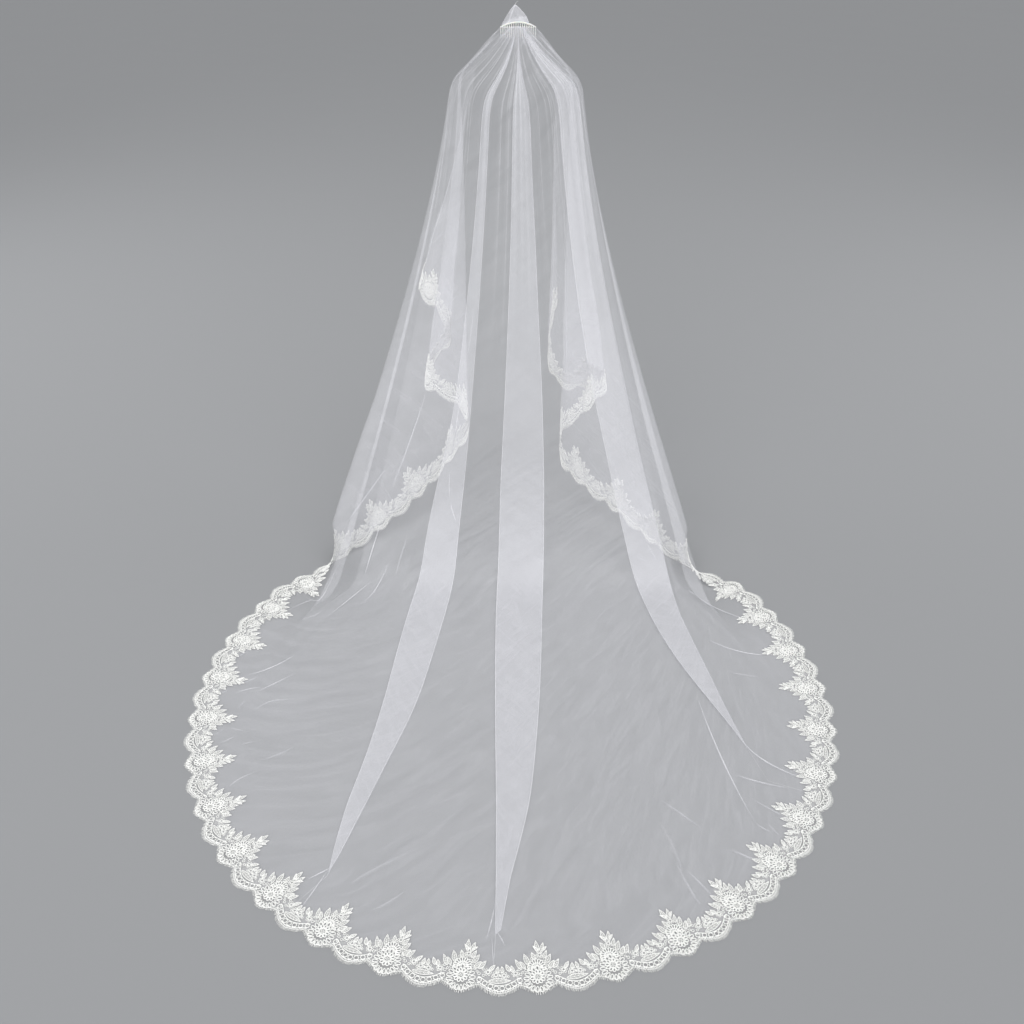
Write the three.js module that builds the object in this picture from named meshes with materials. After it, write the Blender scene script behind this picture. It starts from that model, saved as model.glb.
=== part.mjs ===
// Cathedral-length tulle veil gathered on a hair comb, with a lace edging.
// Millimetres. The origin is the middle of the comb, +Z is up, the wearer faces -Y
// and the train runs towards +Y, so +X is the wearer's left.
import * as THREE from 'three'

// Driving dimensions
const FLOOR_Z = -1500
const TULLE_WALL = 1.5
const LACE_WALL = 2
const SHEET_Z = FLOOR_Z + LACE_WALL / 2
const SEAM_GAP = 0.6
const FALL_SEAM_GAP = 2.5
const SEAT_GAP = 0.3

// Train: the outer edge of the lace is an arc of an ellipse on the floor
// as far as freeAngle short of each floor corner, where the front falls take over
const TRAIN = {
  centreX: 12, centreY: 1130, halfWidth: 843, halfLength: 884, cornerAngle: 43.5, freeAngle: 9, steps: 28
}
const TOUCHDOWN = { halfWidth: 500, centreY: 585, cornerY: 610 }

// Back of the shoulders, where the tulle stops lying on the back and hangs free
const SHOULDER = { halfWidth: 190, tipZ: -150, backZ: -185, backY: 105 }
const GATHER_WIDTH = 107
const FALL_SHARE = 0.2
const NAPE_BULGE = 16
const FLARE = 1.3
const FAN = 2.2
const REST_FRACTION = 0.72

// Round each floor corner the sheet turns from hanging to lying within these lengths of hem
const TWIST = { before: 130, after: 80 }
const LIFT_LENGTH = 260
const REST_LENGTH = 300

// The lace stands square to the hem until this far up a front fall, then follows the ribs
const SQUARE = { until: 380, gone: 600 }

// Lace edging: one repeat holds a rose, a scallop and a pointed spray
const REPEAT = 167
const ROSE_OFFSET = 104
const BRAID = { from: 21, to: 39 }
const MOTIF = [
  { place: 'rose', outer: -12, inner: 120, pierced: false, raise: 1.4 },
  { place: 'rose side', outer: -9, inner: 84, pierced: false, raise: 1 },
  { place: 'leaf', outer: 0, inner: 60, pierced: true, raise: 0.4 },
  { place: 'braid', outer: -6, inner: 50, pierced: false, raise: 0 },
  { place: 'braid', outer: -1, inner: 48, pierced: true, raise: 0 },
  { place: 'braid', outer: -6, inner: 50, pierced: false, raise: 0 },
  { place: 'leaf', outer: 0, inner: 60, pierced: true, raise: 0.4 },
  { place: 'rose side', outer: -9, inner: 84, pierced: false, raise: 1 }
]

// Hair comb
const COMB = { middleX: -6, width: 100, rise: 13, spine: 5, thickness: 3, teeth: 17, toothWidth: 2 }
const TOOTH_TIP_Z = -34

// Standing peak of gathered tulle above the comb: height of its top edge along the comb
const PEAK = [
  { x: 40, height: 3 },
  { x: 30, height: 16 },
  { x: 16, height: 32 },
  { x: 3, height: 45 },
  { x: -10, height: 35 },
  { x: -22, height: 24 },
  { x: -31, height: 14 },
  { x: -36, height: 3 }
]
const PEAK_FOLD = { rows: 5, swing: 5, folds: 2.5 }

// Front falls, from the floor corner forwards and up to where the lace starts.
// Each row is one fold or stretch: hem point, then the point where it crosses the shoulder.
const LEFT_FALL = [
  { name: 'corner', hem: [614, 548, -1499], shoulder: [190, 0, -150] },
  { name: 'floor end', hem: [560, 487, -1492], shoulder: [188, -4, -149] },
  { name: 'side', hem: [455, 385, -1457], shoulder: [184, -9, -147] },
  { name: 'side middle', hem: [336, 280, -1400], shoulder: [178, -14, -145] },
  { name: 'side front', hem: [230, 170, -1325], shoulder: [170, -19, -142] },
  { name: 'first inner fold', hem: [158, 66, -1248], shoulder: [160, -24, -138] },
  { name: 'first return', hem: [215, 20, -1165], shoulder: [162, -32, -138] },
  { name: 'outer fold', hem: [300, -8, -1131], shoulder: [166, -40, -139] },
  { name: 'second return', hem: [272, -42, -1050], shoulder: [156, -47, -135] },
  { name: 'second inner fold', hem: [216, -62, -985], shoulder: [144, -53, -130] },
  { name: 'third return', hem: [262, -92, -888], shoulder: [138, -58, -127] },
  { name: 'front edge', hem: [316, -112, -838], shoulder: [130, -62, -124] },
  { name: 'lace start', hem: [298, -136, -772], shoulder: [117, -64, -117] }
]
const RIGHT_FALL = [
  { name: 'corner', hem: [-583, 566, -1499], shoulder: [-190, 0, -150] },
  { name: 'floor end', hem: [-520, 505, -1494], shoulder: [-188, -4, -149] },
  { name: 'side', hem: [-430, 405, -1472], shoulder: [-184, -9, -147] },
  { name: 'side middle', hem: [-325, 290, -1432], shoulder: [-178, -14, -145] },
  { name: 'side front', hem: [-225, 190, -1400], shoulder: [-170, -19, -142] },
  { name: 'first inner fold', hem: [-152, 100, -1356], shoulder: [-160, -24, -138] },
  { name: 'first return', hem: [-160, 8, -1288], shoulder: [-158, -30, -137] },
  { name: 'outer run', hem: [-235, -34, -1240], shoulder: [-164, -36, -139] },
  { name: 'outer fold', hem: [-304, -46, -1150], shoulder: [-160, -42, -137] },
  { name: 'second return', hem: [-248, -82, -1165], shoulder: [-150, -48, -133] },
  { name: 'second inner fold', hem: [-176, -106, -1185], shoulder: [-140, -53, -129] },
  { name: 'front edge', hem: [-114, -122, -1120], shoulder: [-128, -58, -124] },
  { name: 'front rise', hem: [-112, -136, -1010], shoulder: [-120, -62, -120] },
  { name: 'lace start', hem: [-137, -150, -886], shoulder: [-112, -64, -116] }
]

// Doubled pleats down the back: middle and half width along the hem from the centre back
const PLEATS = [
  { name: 'left', top: 430, tip: 473, half: 112 },
  { name: 'centre', top: -15, tip: 45, half: 104 },
  { name: 'right', top: -892, tip: -842, half: 140 }
]
const PLEAT_RAISE = 3
const PLEAT_STEP = 3

// Rows of the draped tulle, each at a share of the way along one of three stretches
const ROWS = [
  { stretch: 'neck', share: 0, ripple: 2.6, pleat: 0.3 },
  { stretch: 'neck', share: 0.35, ripple: 3.2, pleat: 0.7 },
  { stretch: 'neck', share: 0.7, ripple: 2.4, pleat: 0.9 },
  { stretch: 'neck', share: 1, ripple: 1.6, pleat: 1 },
  { stretch: 'fall', share: 0.2, ripple: 1, pleat: 1 },
  { stretch: 'fall', share: 0.45, ripple: 0, pleat: 1 },
  { stretch: 'fall', share: 0.72, ripple: 0, pleat: 1 },
  { stretch: 'fall', share: 0.93, ripple: 0, pleat: 1 },
  { stretch: 'fall', share: 1, ripple: 0, pleat: 1 },
  { stretch: 'floor', share: 0.45, ripple: 0, pleat: 0.85 }
]
const GATHERS = 7
const INNER_LINE = 142
const FINE_FROM = 0.8
const COARSE_EVERY = 4

// Columns of the draped rows: on each front fall, between the pleats and on a pleat
const COLUMNS = { leftFall: 24, rightFall: 26, between: [6, 5, 8, 4], pleat: 3 }

// How finely the hem is measured, and the lengths used for its direction and at its two ends
const HEM_DIVISIONS = 1600
const TANGENT_STEP = 12
const END_MARGIN = 4

const v3 = (p) => new THREE.Vector3(p[0], p[1], p[2])
const UP = new THREE.Vector3(0, 0, 1)
const smooth = (x) => THREE.MathUtils.smoothstep(x, 0, 1)
const mixed = (a, b, k) => new THREE.Vector3().lerpVectors(a, b, k)

// A point of the train's hem at an angle round its ellipse
function ellipsePoint(degrees) {
  const angle = THREE.MathUtils.degToRad(degrees)
  const x = TRAIN.centreX + TRAIN.halfWidth * Math.cos(angle)
  const y = TRAIN.centreY + TRAIN.halfLength * Math.sin(angle)
  return new THREE.Vector3(x, y, SHEET_Z)
}

// The whole hem as one curve: left front fall, round the train, right front fall
function hemCurve() {
  const points = LEFT_FALL.map((row) => v3(row.hem)).reverse()
  const start = TRAIN.freeAngle - TRAIN.cornerAngle
  const end = 180 - start
  for (let i = 0; i <= TRAIN.steps; i += 1) {
    points.push(ellipsePoint(start + ((end - start) * i) / TRAIN.steps))
  }
  for (const row of RIGHT_FALL) points.push(v3(row.hem))
  const curve = new THREE.CatmullRomCurve3(points, false, 'centripetal')
  curve.arcLengthDivisions = HEM_DIVISIONS
  return { curve, length: curve.getLength(), points }
}

const HEM = hemCurve()

// Distance along the hem at which each control point lies
function controlDistances() {
  const lengths = HEM.curve.getLengths()
  const last = HEM.points.length - 1
  return HEM.points.map((_, i) => lengths[Math.round((i / last) * (lengths.length - 1))])
}

const DISTANCES = controlDistances()
const LEFT_CORNER = DISTANCES[LEFT_FALL.length - 1]
const RIGHT_CORNER = DISTANCES[HEM.points.length - RIGHT_FALL.length]
const CENTRE_BACK = (LEFT_CORNER + RIGHT_CORNER) / 2
const HALF_TRAIN = (RIGHT_CORNER - LEFT_CORNER) / 2

// Shoulder crossing of a front fall, read between the rows of its table
function fallShoulder(s) {
  const left = s < CENTRE_BACK
  const rows = left ? LEFT_FALL : RIGHT_FALL
  const places = rows.map((_, i) => (left ? DISTANCES[rows.length - 1 - i]
    : DISTANCES[HEM.points.length - rows.length + i]))
  const away = (d) => Math.abs(d - CENTRE_BACK)
  let i = 0
  while (i < rows.length - 2 && away(s) > away(places[i + 1])) i += 1
  const k = (away(s) - away(places[i])) / (away(places[i + 1]) - away(places[i]))
  return mixed(v3(rows[i].shoulder), v3(rows[i + 1].shoulder), THREE.MathUtils.clamp(k, 0, 1))
}

// How the train fans out: 0 at the centre back, 1 at a floor corner, and its sign is the side
function fanShare(s) {
  const share = (CENTRE_BACK - s) / HALF_TRAIN
  const size = THREE.MathUtils.clamp(Math.abs(share), 0, 1)
  return { side: Math.sign(share) || 1, size, spread: 1 - (1 - size) ** FAN }
}

const onTrain = (s) => s > LEFT_CORNER && s < RIGHT_CORNER

// Distance along the hem from the nearer floor corner, more than 0 on the train
const pastCorner = (s) => Math.min(s - LEFT_CORNER, RIGHT_CORNER - s)

function shoulderPoint(s) {
  if (!onTrain(s)) return fallShoulder(s)
  const fan = fanShare(s)
  const x = fan.side * SHOULDER.halfWidth * fan.spread
  const y = SHOULDER.backY * (1 - fan.spread ** 2)
  const z = SHOULDER.backZ + (SHOULDER.tipZ - SHOULDER.backZ) * fan.spread ** 2
  return new THREE.Vector3(x, y, z)
}

const hemPoint = (s) => HEM.curve.getPointAt(THREE.MathUtils.clamp(s / HEM.length, 0, 1))
const alongHem = (s) => hemPoint(s + TANGENT_STEP).sub(hemPoint(s - TANGENT_STEP)).normalize()

// Inward direction of the lace at the hem: flat on the train, upright on the front falls
function inwardDirection(s) {
  const along = alongHem(s)
  const here = hemPoint(s)
  const up = shoulderPoint(s).sub(here).normalize()
  const square = 1 - smooth((-pastCorner(s) - SQUARE.until) / (SQUARE.gone - SQUARE.until))
  up.addScaledVector(along, -square * up.dot(along)).normalize()
  const lift = 1 - smooth((pastCorner(s) + TWIST.before) / (TWIST.before + TWIST.after))
  const flat = new THREE.Vector3().crossVectors(along, UP).normalize()
  if (flat.y * (TRAIN.centreY - here.y) + flat.x * (TRAIN.centreX - here.x) < 0) flat.negate()
  return mixed(flat, up, lift).normalize()
}

// A point at distance s along the hem and distance inwards from it
function borderPoint(s, inwards) {
  const here = hemPoint(s).addScaledVector(inwardDirection(s), inwards)
  here.z = Math.max(here.z, SHEET_Z)
  return here
}

// Height of the comb's spine, an arc that is highest in its middle
const spineTop = (x) => COMB.rise * (1 - ((x - COMB.middleX) / (COMB.width / 2)) ** 2)

// Where a rib of the tulle leaves the comb: the train takes the middle share of the spine
function combPoint(s) {
  const left = Math.min(1, s / LEFT_CORNER)
  const middle = THREE.MathUtils.clamp((s - LEFT_CORNER) / (2 * HALF_TRAIN), 0, 1)
  const right = Math.max(0, (s - RIGHT_CORNER) / (HEM.length - RIGHT_CORNER))
  const share = FALL_SHARE * (left + right) + (1 - 2 * FALL_SHARE) * middle
  const x = COMB.middleX + GATHER_WIDTH * (0.5 - share)
  const y = (COMB.thickness + TULLE_WALL) / 2 + SEAT_GAP
  return new THREE.Vector3(x, y, spineTop(x) - COMB.spine / 2)
}

// Where a rib meets the floor behind the wearer, or its end on a front fall
function landingPoint(s) {
  if (!onTrain(s)) return borderPoint(s, INNER_LINE)
  const fan = fanShare(s)
  const x = fan.side * TOUCHDOWN.halfWidth * fan.spread
  const y = TOUCHDOWN.centreY + (TOUCHDOWN.cornerY - TOUCHDOWN.centreY) * fan.spread ** 2
  const landing = new THREE.Vector3(x, y, SHEET_Z)
  const lift = 1 - smooth(pastCorner(s) / LIFT_LENGTH)
  return mixed(landing, borderPoint(s, INNER_LINE), lift)
}

// A hanging rib flares: its sideways travel grows faster near the floor
function hangPoint(top, end, share) {
  const point = mixed(top, end, share ** FLARE)
  point.z = top.z + (end.z - top.z) * share
  return point
}

// Share of the hanging length at which a rib's third stretch begins
function restShare(s) {
  const near = smooth(pastCorner(s) / REST_LENGTH)
  return REST_FRACTION + (1 - REST_FRACTION) * near
}

function ribPoint(s, row) {
  const shoulder = shoulderPoint(s)
  if (row.stretch === 'neck') {
    const point = mixed(combPoint(s), shoulder, row.share)
    point.y += NAPE_BULGE * Math.sin(Math.PI * row.share)
    return point
  }
  const landing = landingPoint(s)
  const rest = hangPoint(shoulder, landing, restShare(s))
  if (row.stretch === 'fall') return hangPoint(shoulder, landing, restShare(s) * row.share)
  return mixed(rest, borderPoint(s, INNER_LINE), row.share)
}

// Distances of the pleats' edges along the hem on one row
function pleatSpans(row) {
  const down = row.stretch === 'floor' ? row.share : 0
  return PLEATS.map((pleat) => {
    const middle = CENTRE_BACK - (pleat.top + (pleat.tip - pleat.top) * down)
    const half = pleat.half * row.pleat
    return { from: middle - half, to: middle + half }
  })
}

// Columns of a row: distance along the hem and whether the place lies on a pleat
function rowColumns(row) {
  const spans = pleatSpans(row)
  const columns = []
  const run = (from, to, count, raised) => {
    for (let i = 0; i < count; i += 1) {
      columns.push({ s: from + ((to - from) * i) / (count - 1), raised })
    }
  }
  for (let i = 0; i < COLUMNS.leftFall; i += 1) {
    columns.push({ s: (LEFT_CORNER * i) / COLUMNS.leftFall, raised: false })
  }
  let from = LEFT_CORNER
  spans.forEach((span, i) => {
    run(from, span.from - PLEAT_STEP, COLUMNS.between[i], false)
    run(span.from + PLEAT_STEP, span.to - PLEAT_STEP, COLUMNS.pleat, true)
    from = span.to + PLEAT_STEP
  })
  run(from, RIGHT_CORNER, COLUMNS.between[spans.length], false)
  const rest = HEM.length - RIGHT_CORNER
  for (let i = 1; i <= COLUMNS.rightFall; i += 1) {
    columns.push({ s: RIGHT_CORNER + (rest * i) / COLUMNS.rightFall, raised: false })
  }
  return columns
}

// Outward normal of the border strip, shared by the lace and the edge of the tulle
function borderNormal(s) {
  return new THREE.Vector3().crossVectors(inwardDirection(s).negate(), alongHem(s)).normalize()
}

// Normals of a row from its neighbours along it and the rows above and below it
function setNormals(rows) {
  rows.forEach((row, r) => {
    const above = rows[Math.max(0, r - 1)]
    const below = rows[Math.min(rows.length - 1, r + 1)]
    row.forEach((node, i) => {
      const along = row[Math.min(row.length - 1, i + 1)].point.clone()
      along.sub(row[Math.max(0, i - 1)].point)
      const down = below[i].point.clone().sub(above[i].point)
      node.normal = new THREE.Vector3().crossVectors(down, along).normalize()
    })
  })
}

// The draped rows: gathers ripple outwards from the comb and pleats stand proud
function drapedRows() {
  const rows = ROWS.map((row) => rowColumns(row).map(({ s, raised }) => (
    { s, point: ribPoint(s, row), over: TULLE_WALL / 2 + (raised ? PLEAT_RAISE : 0), under: TULLE_WALL / 2 }
  )))
  setNormals(rows)
  rows.forEach((row, r) => {
    row.forEach((node) => {
      const wave = 1 - Math.cos((2 * Math.PI * GATHERS * node.s) / HEM.length)
      node.point.addScaledVector(node.normal, ROWS[r].ripple * wave)
    })
  })
  setNormals(rows)
  return rows
}

// Distances along the hem at which the motif of the lace has its columns
function motifColumns() {
  const step = REPEAT / MOTIF.length
  const rose = CENTRE_BACK - ROSE_OFFSET
  const first = Math.ceil((END_MARGIN - rose) / step)
  const last = Math.floor((HEM.length - END_MARGIN - rose) / step)
  const columns = []
  for (let j = first; j <= last; j += 1) {
    const index = ((j % MOTIF.length) + MOTIF.length) % MOTIF.length
    columns.push({ s: rose + j * step, index, motif: MOTIF[index] })
  }
  return columns
}

const borderNode = (s, inwards, over, under) => (
  { s, point: borderPoint(s, inwards), normal: borderNormal(s), over, under }
)

// Top and bottom copies of rows of nodes, joined row to row and walled all round.
// Rows of one length are joined column by column, others by distance along the hem.
// Cells named by keep(row, column) === false are left open right through.
function sheetGeometry(rows, keep = () => true) {
  const positions = []
  const starts = []
  for (const row of rows) {
    starts.push(positions.length / 3)
    for (const node of row) {
      const top = node.point.clone().addScaledVector(node.normal, node.over)
      const bottom = node.point.clone().addScaledVector(node.normal, -node.under)
      positions.push(top.x, top.y, top.z, bottom.x, bottom.y, bottom.z)
    }
  }
  const id = (r, i, side) => starts[r] + 2 * i + side
  const faces = []
  const wall = ([r, i], [q, j]) => {
    faces.push([id(q, j, 0), id(r, i, 0), id(r, i, 1)])
    faces.push([id(q, j, 0), id(r, i, 1), id(q, j, 1)])
  }
  const edges = new Map()
  const addCell = (corners) => {
    faces.push(corners.map(([r, i]) => id(r, i, 0)))
    faces.push(corners.map(([r, i]) => id(r, i, 1)).reverse())
    corners.forEach((from, k) => {
      const to = corners[(k + 1) % corners.length]
      const key = `${from}>${to}`
      const back = `${to}>${from}`
      if (edges.has(back)) edges.delete(back)
      else edges.set(key, [from, to])
    })
  }
  for (let r = 0; r < rows.length - 1; r += 1) {
    const upper = rows[r]
    const lower = rows[r + 1]
    if (upper.length === lower.length) {
      for (let i = 0; i < upper.length - 1; i += 1) {
        if (keep(r, i)) {
          addCell([[r, i], [r + 1, i], [r + 1, i + 1]])
          addCell([[r, i], [r + 1, i + 1], [r, i + 1]])
        }
      }
    } else {
      let i = 0
      let j = 0
      while (i < upper.length - 1 || j < lower.length - 1) {
        const nextUpper = i < upper.length - 1 ? upper[i].s + upper[i + 1].s : Infinity
        const nextLower = j < lower.length - 1 ? lower[j].s + lower[j + 1].s : Infinity
        if (nextUpper < nextLower) {
          addCell([[r, i], [r + 1, j], [r, i + 1]])
          i += 1
        } else {
          addCell([[r, i], [r + 1, j], [r + 1, j + 1]])
          j += 1
        }
      }
    }
  }
  for (const [from, to] of edges.values()) wall(from, to)
  const geometry = new THREE.BufferGeometry()
  geometry.setAttribute('position', new THREE.Float32BufferAttribute(positions, 3))
  geometry.setIndex(faces.flat())
  geometry.computeVertexNormals()
  return geometry
}

function tulleGeometry() {
  const half = TULLE_WALL / 2
  const columns = motifColumns()
  const draped = drapedRows()
  const inner = columns.filter(({ s, index }) => fanShare(s).size > FINE_FROM || index % COARSE_EVERY === 0)
  const innerRow = inner.map(({ s }) => borderNode(s, INNER_LINE, half, half))
  const edgeRow = columns.map(({ s, motif }) => {
    const gap = pastCorner(s) > 0 ? SEAM_GAP : FALL_SEAM_GAP
    return borderNode(s, motif.inner + gap, half, half)
  })
  return sheetGeometry([...draped, innerRow, edgeRow])
}

function laceGeometry() {
  const columns = motifColumns()
  const half = LACE_WALL / 2
  const band = (inwards, raise) => columns.map(({ s, motif }) => (
    borderNode(s, inwards(motif), half + raise(motif), half)
  ))
  const flat = () => 0
  const rows = [
    band((motif) => motif.inner, flat),
    band(() => BRAID.to, (motif) => motif.raise),
    band(() => BRAID.from, (motif) => motif.raise),
    band((motif) => motif.outer, flat)
  ]
  return sheetGeometry(rows, (r, i) => !(r === 1 && columns[i].motif.pierced))
}

function peakGeometry() {
  const half = TULLE_WALL / 2
  const rows = []
  for (let r = 0; r <= PEAK_FOLD.rows; r += 1) {
    const up = 1 - r / PEAK_FOLD.rows
    rows.push(PEAK.map(({ x, height }, i) => {
      const wave = Math.sin((2 * Math.PI * PEAK_FOLD.folds * i) / (PEAK.length - 1))
      const seat = spineTop(x) + SEAT_GAP
      const point = new THREE.Vector3(x, PEAK_FOLD.swing * wave * up, seat + height * up)
      return { s: i, point, normal: new THREE.Vector3(0, 1, 0), over: half, under: half }
    }))
  }
  return sheetGeometry(rows)
}

// Spine and teeth as one outline, given its thickness across
function combGeometry() {
  const left = COMB.middleX - COMB.width / 2
  const pitch = (COMB.width - COMB.toothWidth) / (COMB.teeth - 1)
  const outline = []
  for (let i = 0; i < COMB.teeth; i += 1) {
    const x = left + pitch * i
    const top = Math.min(spineTop(x), spineTop(x + COMB.toothWidth)) - COMB.spine
    const tip = TOOTH_TIP_Z + COMB.toothWidth
    outline.push([x, top], [x, tip], [x + COMB.toothWidth / 2, TOOTH_TIP_Z])
    outline.push([x + COMB.toothWidth, tip], [x + COMB.toothWidth, top])
  }
  const arcSteps = 16
  for (let i = 0; i <= arcSteps; i += 1) {
    const x = left + COMB.width * (1 - i / arcSteps)
    outline.push([x, spineTop(x)])
  }
  const shape = new THREE.Shape(outline.map(([x, z]) => new THREE.Vector2(x, z)))
  const geometry = new THREE.ExtrudeGeometry(shape, { depth: COMB.thickness, bevelEnabled: false })
  geometry.rotateX(Math.PI / 2)
  geometry.translate(0, COMB.thickness / 2, 0)
  return geometry
}

const finish = (color, roughness) => new THREE.MeshStandardMaterial({ color, roughness, metalness: 0 })

function piece(name, geometry, material) {
  const mesh = new THREE.Mesh(geometry, material)
  mesh.name = name
  return mesh
}

const group = new THREE.Group()
group.add(piece('tulle_veil', tulleGeometry(), finish(0xf4f4f2, 0.8)))
group.add(piece('standing_peak', peakGeometry(), finish(0xf4f4f2, 0.8)))
group.add(piece('lace_edging', laceGeometry(), finish(0xfbfaf6, 0.7)))
group.add(piece('comb', combGeometry(), finish(0xe9e8e2, 0.35)))

export default group
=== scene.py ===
import math

import bpy
import numpy as np
from bpy.props import FloatProperty, FloatVectorProperty, IntProperty, PointerProperty
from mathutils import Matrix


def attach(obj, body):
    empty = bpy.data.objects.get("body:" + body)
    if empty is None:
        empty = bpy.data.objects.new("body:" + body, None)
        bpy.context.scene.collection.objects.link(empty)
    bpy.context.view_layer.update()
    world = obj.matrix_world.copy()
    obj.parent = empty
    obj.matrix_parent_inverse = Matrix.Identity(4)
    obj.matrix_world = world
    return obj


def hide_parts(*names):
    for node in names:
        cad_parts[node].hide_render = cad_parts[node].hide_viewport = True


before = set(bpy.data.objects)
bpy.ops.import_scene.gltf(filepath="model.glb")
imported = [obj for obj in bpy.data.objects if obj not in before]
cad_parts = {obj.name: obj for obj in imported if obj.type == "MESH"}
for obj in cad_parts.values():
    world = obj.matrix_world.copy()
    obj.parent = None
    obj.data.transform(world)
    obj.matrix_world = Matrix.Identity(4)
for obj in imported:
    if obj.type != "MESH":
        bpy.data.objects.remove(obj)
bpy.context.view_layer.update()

bl_info = {
    "name": "Cathedral veil",
    "version": (1, 0, 0),
    "blender": (4, 5, 0),
    "location": "View3D > Sidebar > Veil",
    "description": "Draped tulle veil with a corded lace edging, a standing peak and a hair comb",
    "category": "Add Mesh",
}

MM = 0.001

# Floor and layers, in metres. The origin is the middle of the comb, +Z is up, the train runs to +Y.
FLOOR_Z = -1.5
SHEET_Z = FLOOR_Z + 1 * MM
LAYER = 2.6 * MM

# The train's hem is an arc of an ellipse on the floor, free of the falls by free_angle degrees
TRAIN = {
    "centre_x": 0.012, "centre_y": 1.130, "half_width": 0.843, "half_length": 0.884,
    "corner_angle": 43.5, "free_angle": 9.0, "steps": 28,
}

# Lines that the sheet passes on its way: where it meets the floor, the shoulders and the gather
TOUCHDOWN = {"half_width": 0.5, "centre_y": 0.585, "corner_y": 0.610}
SHOULDER = {"half_width": 0.19, "tip_z": -0.15, "back_z": -0.185, "back_y": 0.105}
GATHER = {"width": 0.107, "fall_share": 0.2, "y": 2.55 * MM}

# Ribs: how late one swings out on its way down, how they crowd away from the centre back, how
# much straighter the middle ones leave the comb, and how far the nape stands out
FLARE = 1.3
FAN = 2.2
NECK_DROP = 1.1
NAPE_BULGE = 0.016

# Near a floor corner: how far before and after it the border turns from lying to hanging, over
# what length ribs lift off the floor, and over what length and to what share of their way down
# they come to rest. Up to where, along a fall, the lace stands square to the hem.
TWIST = {"before": 0.13, "after": 0.08}
LIFT_LENGTH = 0.26
REST_LENGTH = 0.3
REST_FRACTION = 0.72
SQUARE = {"until": 0.38, "gone": 0.6}

# Width of the lace's border, and how finely the hem is worked out
INNER_LINE = 0.142
TANGENT_STEP = 0.012
HEM_DIVISIONS = 40

# Columns of the cloth: how far apart on the falls, how many beside and across each pleat and past
# the last one, over what lengths a pleat opens and its layers settle, and the most that gathered
# net covers
COLUMN_PITCH = 9.5 * MM
FEWEST_COLUMNS = 12
PLEAT_COLUMNS = {"left": (124, 18), "centre": (32, 18), "right": (54, 24)}
LAST_COLUMNS = 70
PLEAT_OPENS = 30 * MM
PLEAT_SETTLES = 80 * MM
FOLD_RADIUS = 1.2 * MM
MOST_COVER = 0.75

# Heights of the ripples in millimetres, by how far down the cloth is: 0 at the comb, 1 at the
# shoulder, 2 at rest and 3 at the lace. Then, in the same way, what being drawn together and
# narrow folds add to the cover of one flat layer, and the share that shows when seen squarely.
RIPPLES = {
    "broad": ([0, 0.35, 0.7, 1, 1.4], [2.6, 3.2, 2.4, 1.6, 0]),
    "gathered": ([0, 0.3, 1, 1.5], [1.2, 2.0, 1.2, 0]),
    "hanging": ([0.6, 1.2, 1.7, 2.0], [0, 2.5, 2.5, 0]),
    "lying": ([2.0, 2.3, 2.8, 3.1], [0, 1.6, 1.6, 0]),
}
DENSITY = {
    "drawn_together": ([0, 0.08, 0.3, 0.8, 1.3], [3.0, 1.6, 0.6, 0.2, 0]),
    "narrow_folds": ([0, 0.1, 0.8], [1.2, 2.4, 2.2]),
    "seen_square": ([0, 1.75, 2.05], [0.5, 0.58, 1]),
}

# Stage, with the camera's shift as a share of the picture's width. A light's row is its kind,
# where it stands, what it is aimed at, its size in metres or a sun's in degrees, and the setting
# that holds its power.
FLOOR_HALF = 60.0
CAMERA_SHIFT = -4 / 1024
SURROUND = "#eceef0"
LIGHTS = {
    "key_light": ("AREA", (3.0, 4.2, 3.4), (0.0, 0.5, -1.0), 3.6, "key_power"),
    "left_light": ("AREA", (3.4, -1.6, 1.4), (0.0, 0.4, -0.8), 2.4, "fill_power"),
    "right_light": ("AREA", (-3.4, -1.2, 1.6), (0.0, 0.4, -0.8), 2.4, "fill_power"),
    "overall_light": ("SUN", (-2.0, 3.0, 5.0), (0.0, 0.0, -1.5), 50, "overall_power"),
    "front_light": ("SUN", (0.9, 3.0, 0.1), (0.0, 0.0, -0.8), 40, "front_power"),
}

# Comb
COMB = {"middle_x": -0.006, "width": 0.1, "rise": 0.013, "spine": 0.005, "thickness": 0.003,
        "teeth": 17, "tooth_width": 0.002, "tip_z": -0.034}

# Sewing thread in millimetres: its radius, the turns, rise, half width and half depth of its coil
# round a tooth, and the half width and dip of a stitch between two teeth
THREAD = {"radius": 0.28, "turns": 4, "rise": 0.42, "half_width": 1.55, "half_depth": 2.35,
          "stitch": 3.0, "dip": 1.6}

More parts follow.
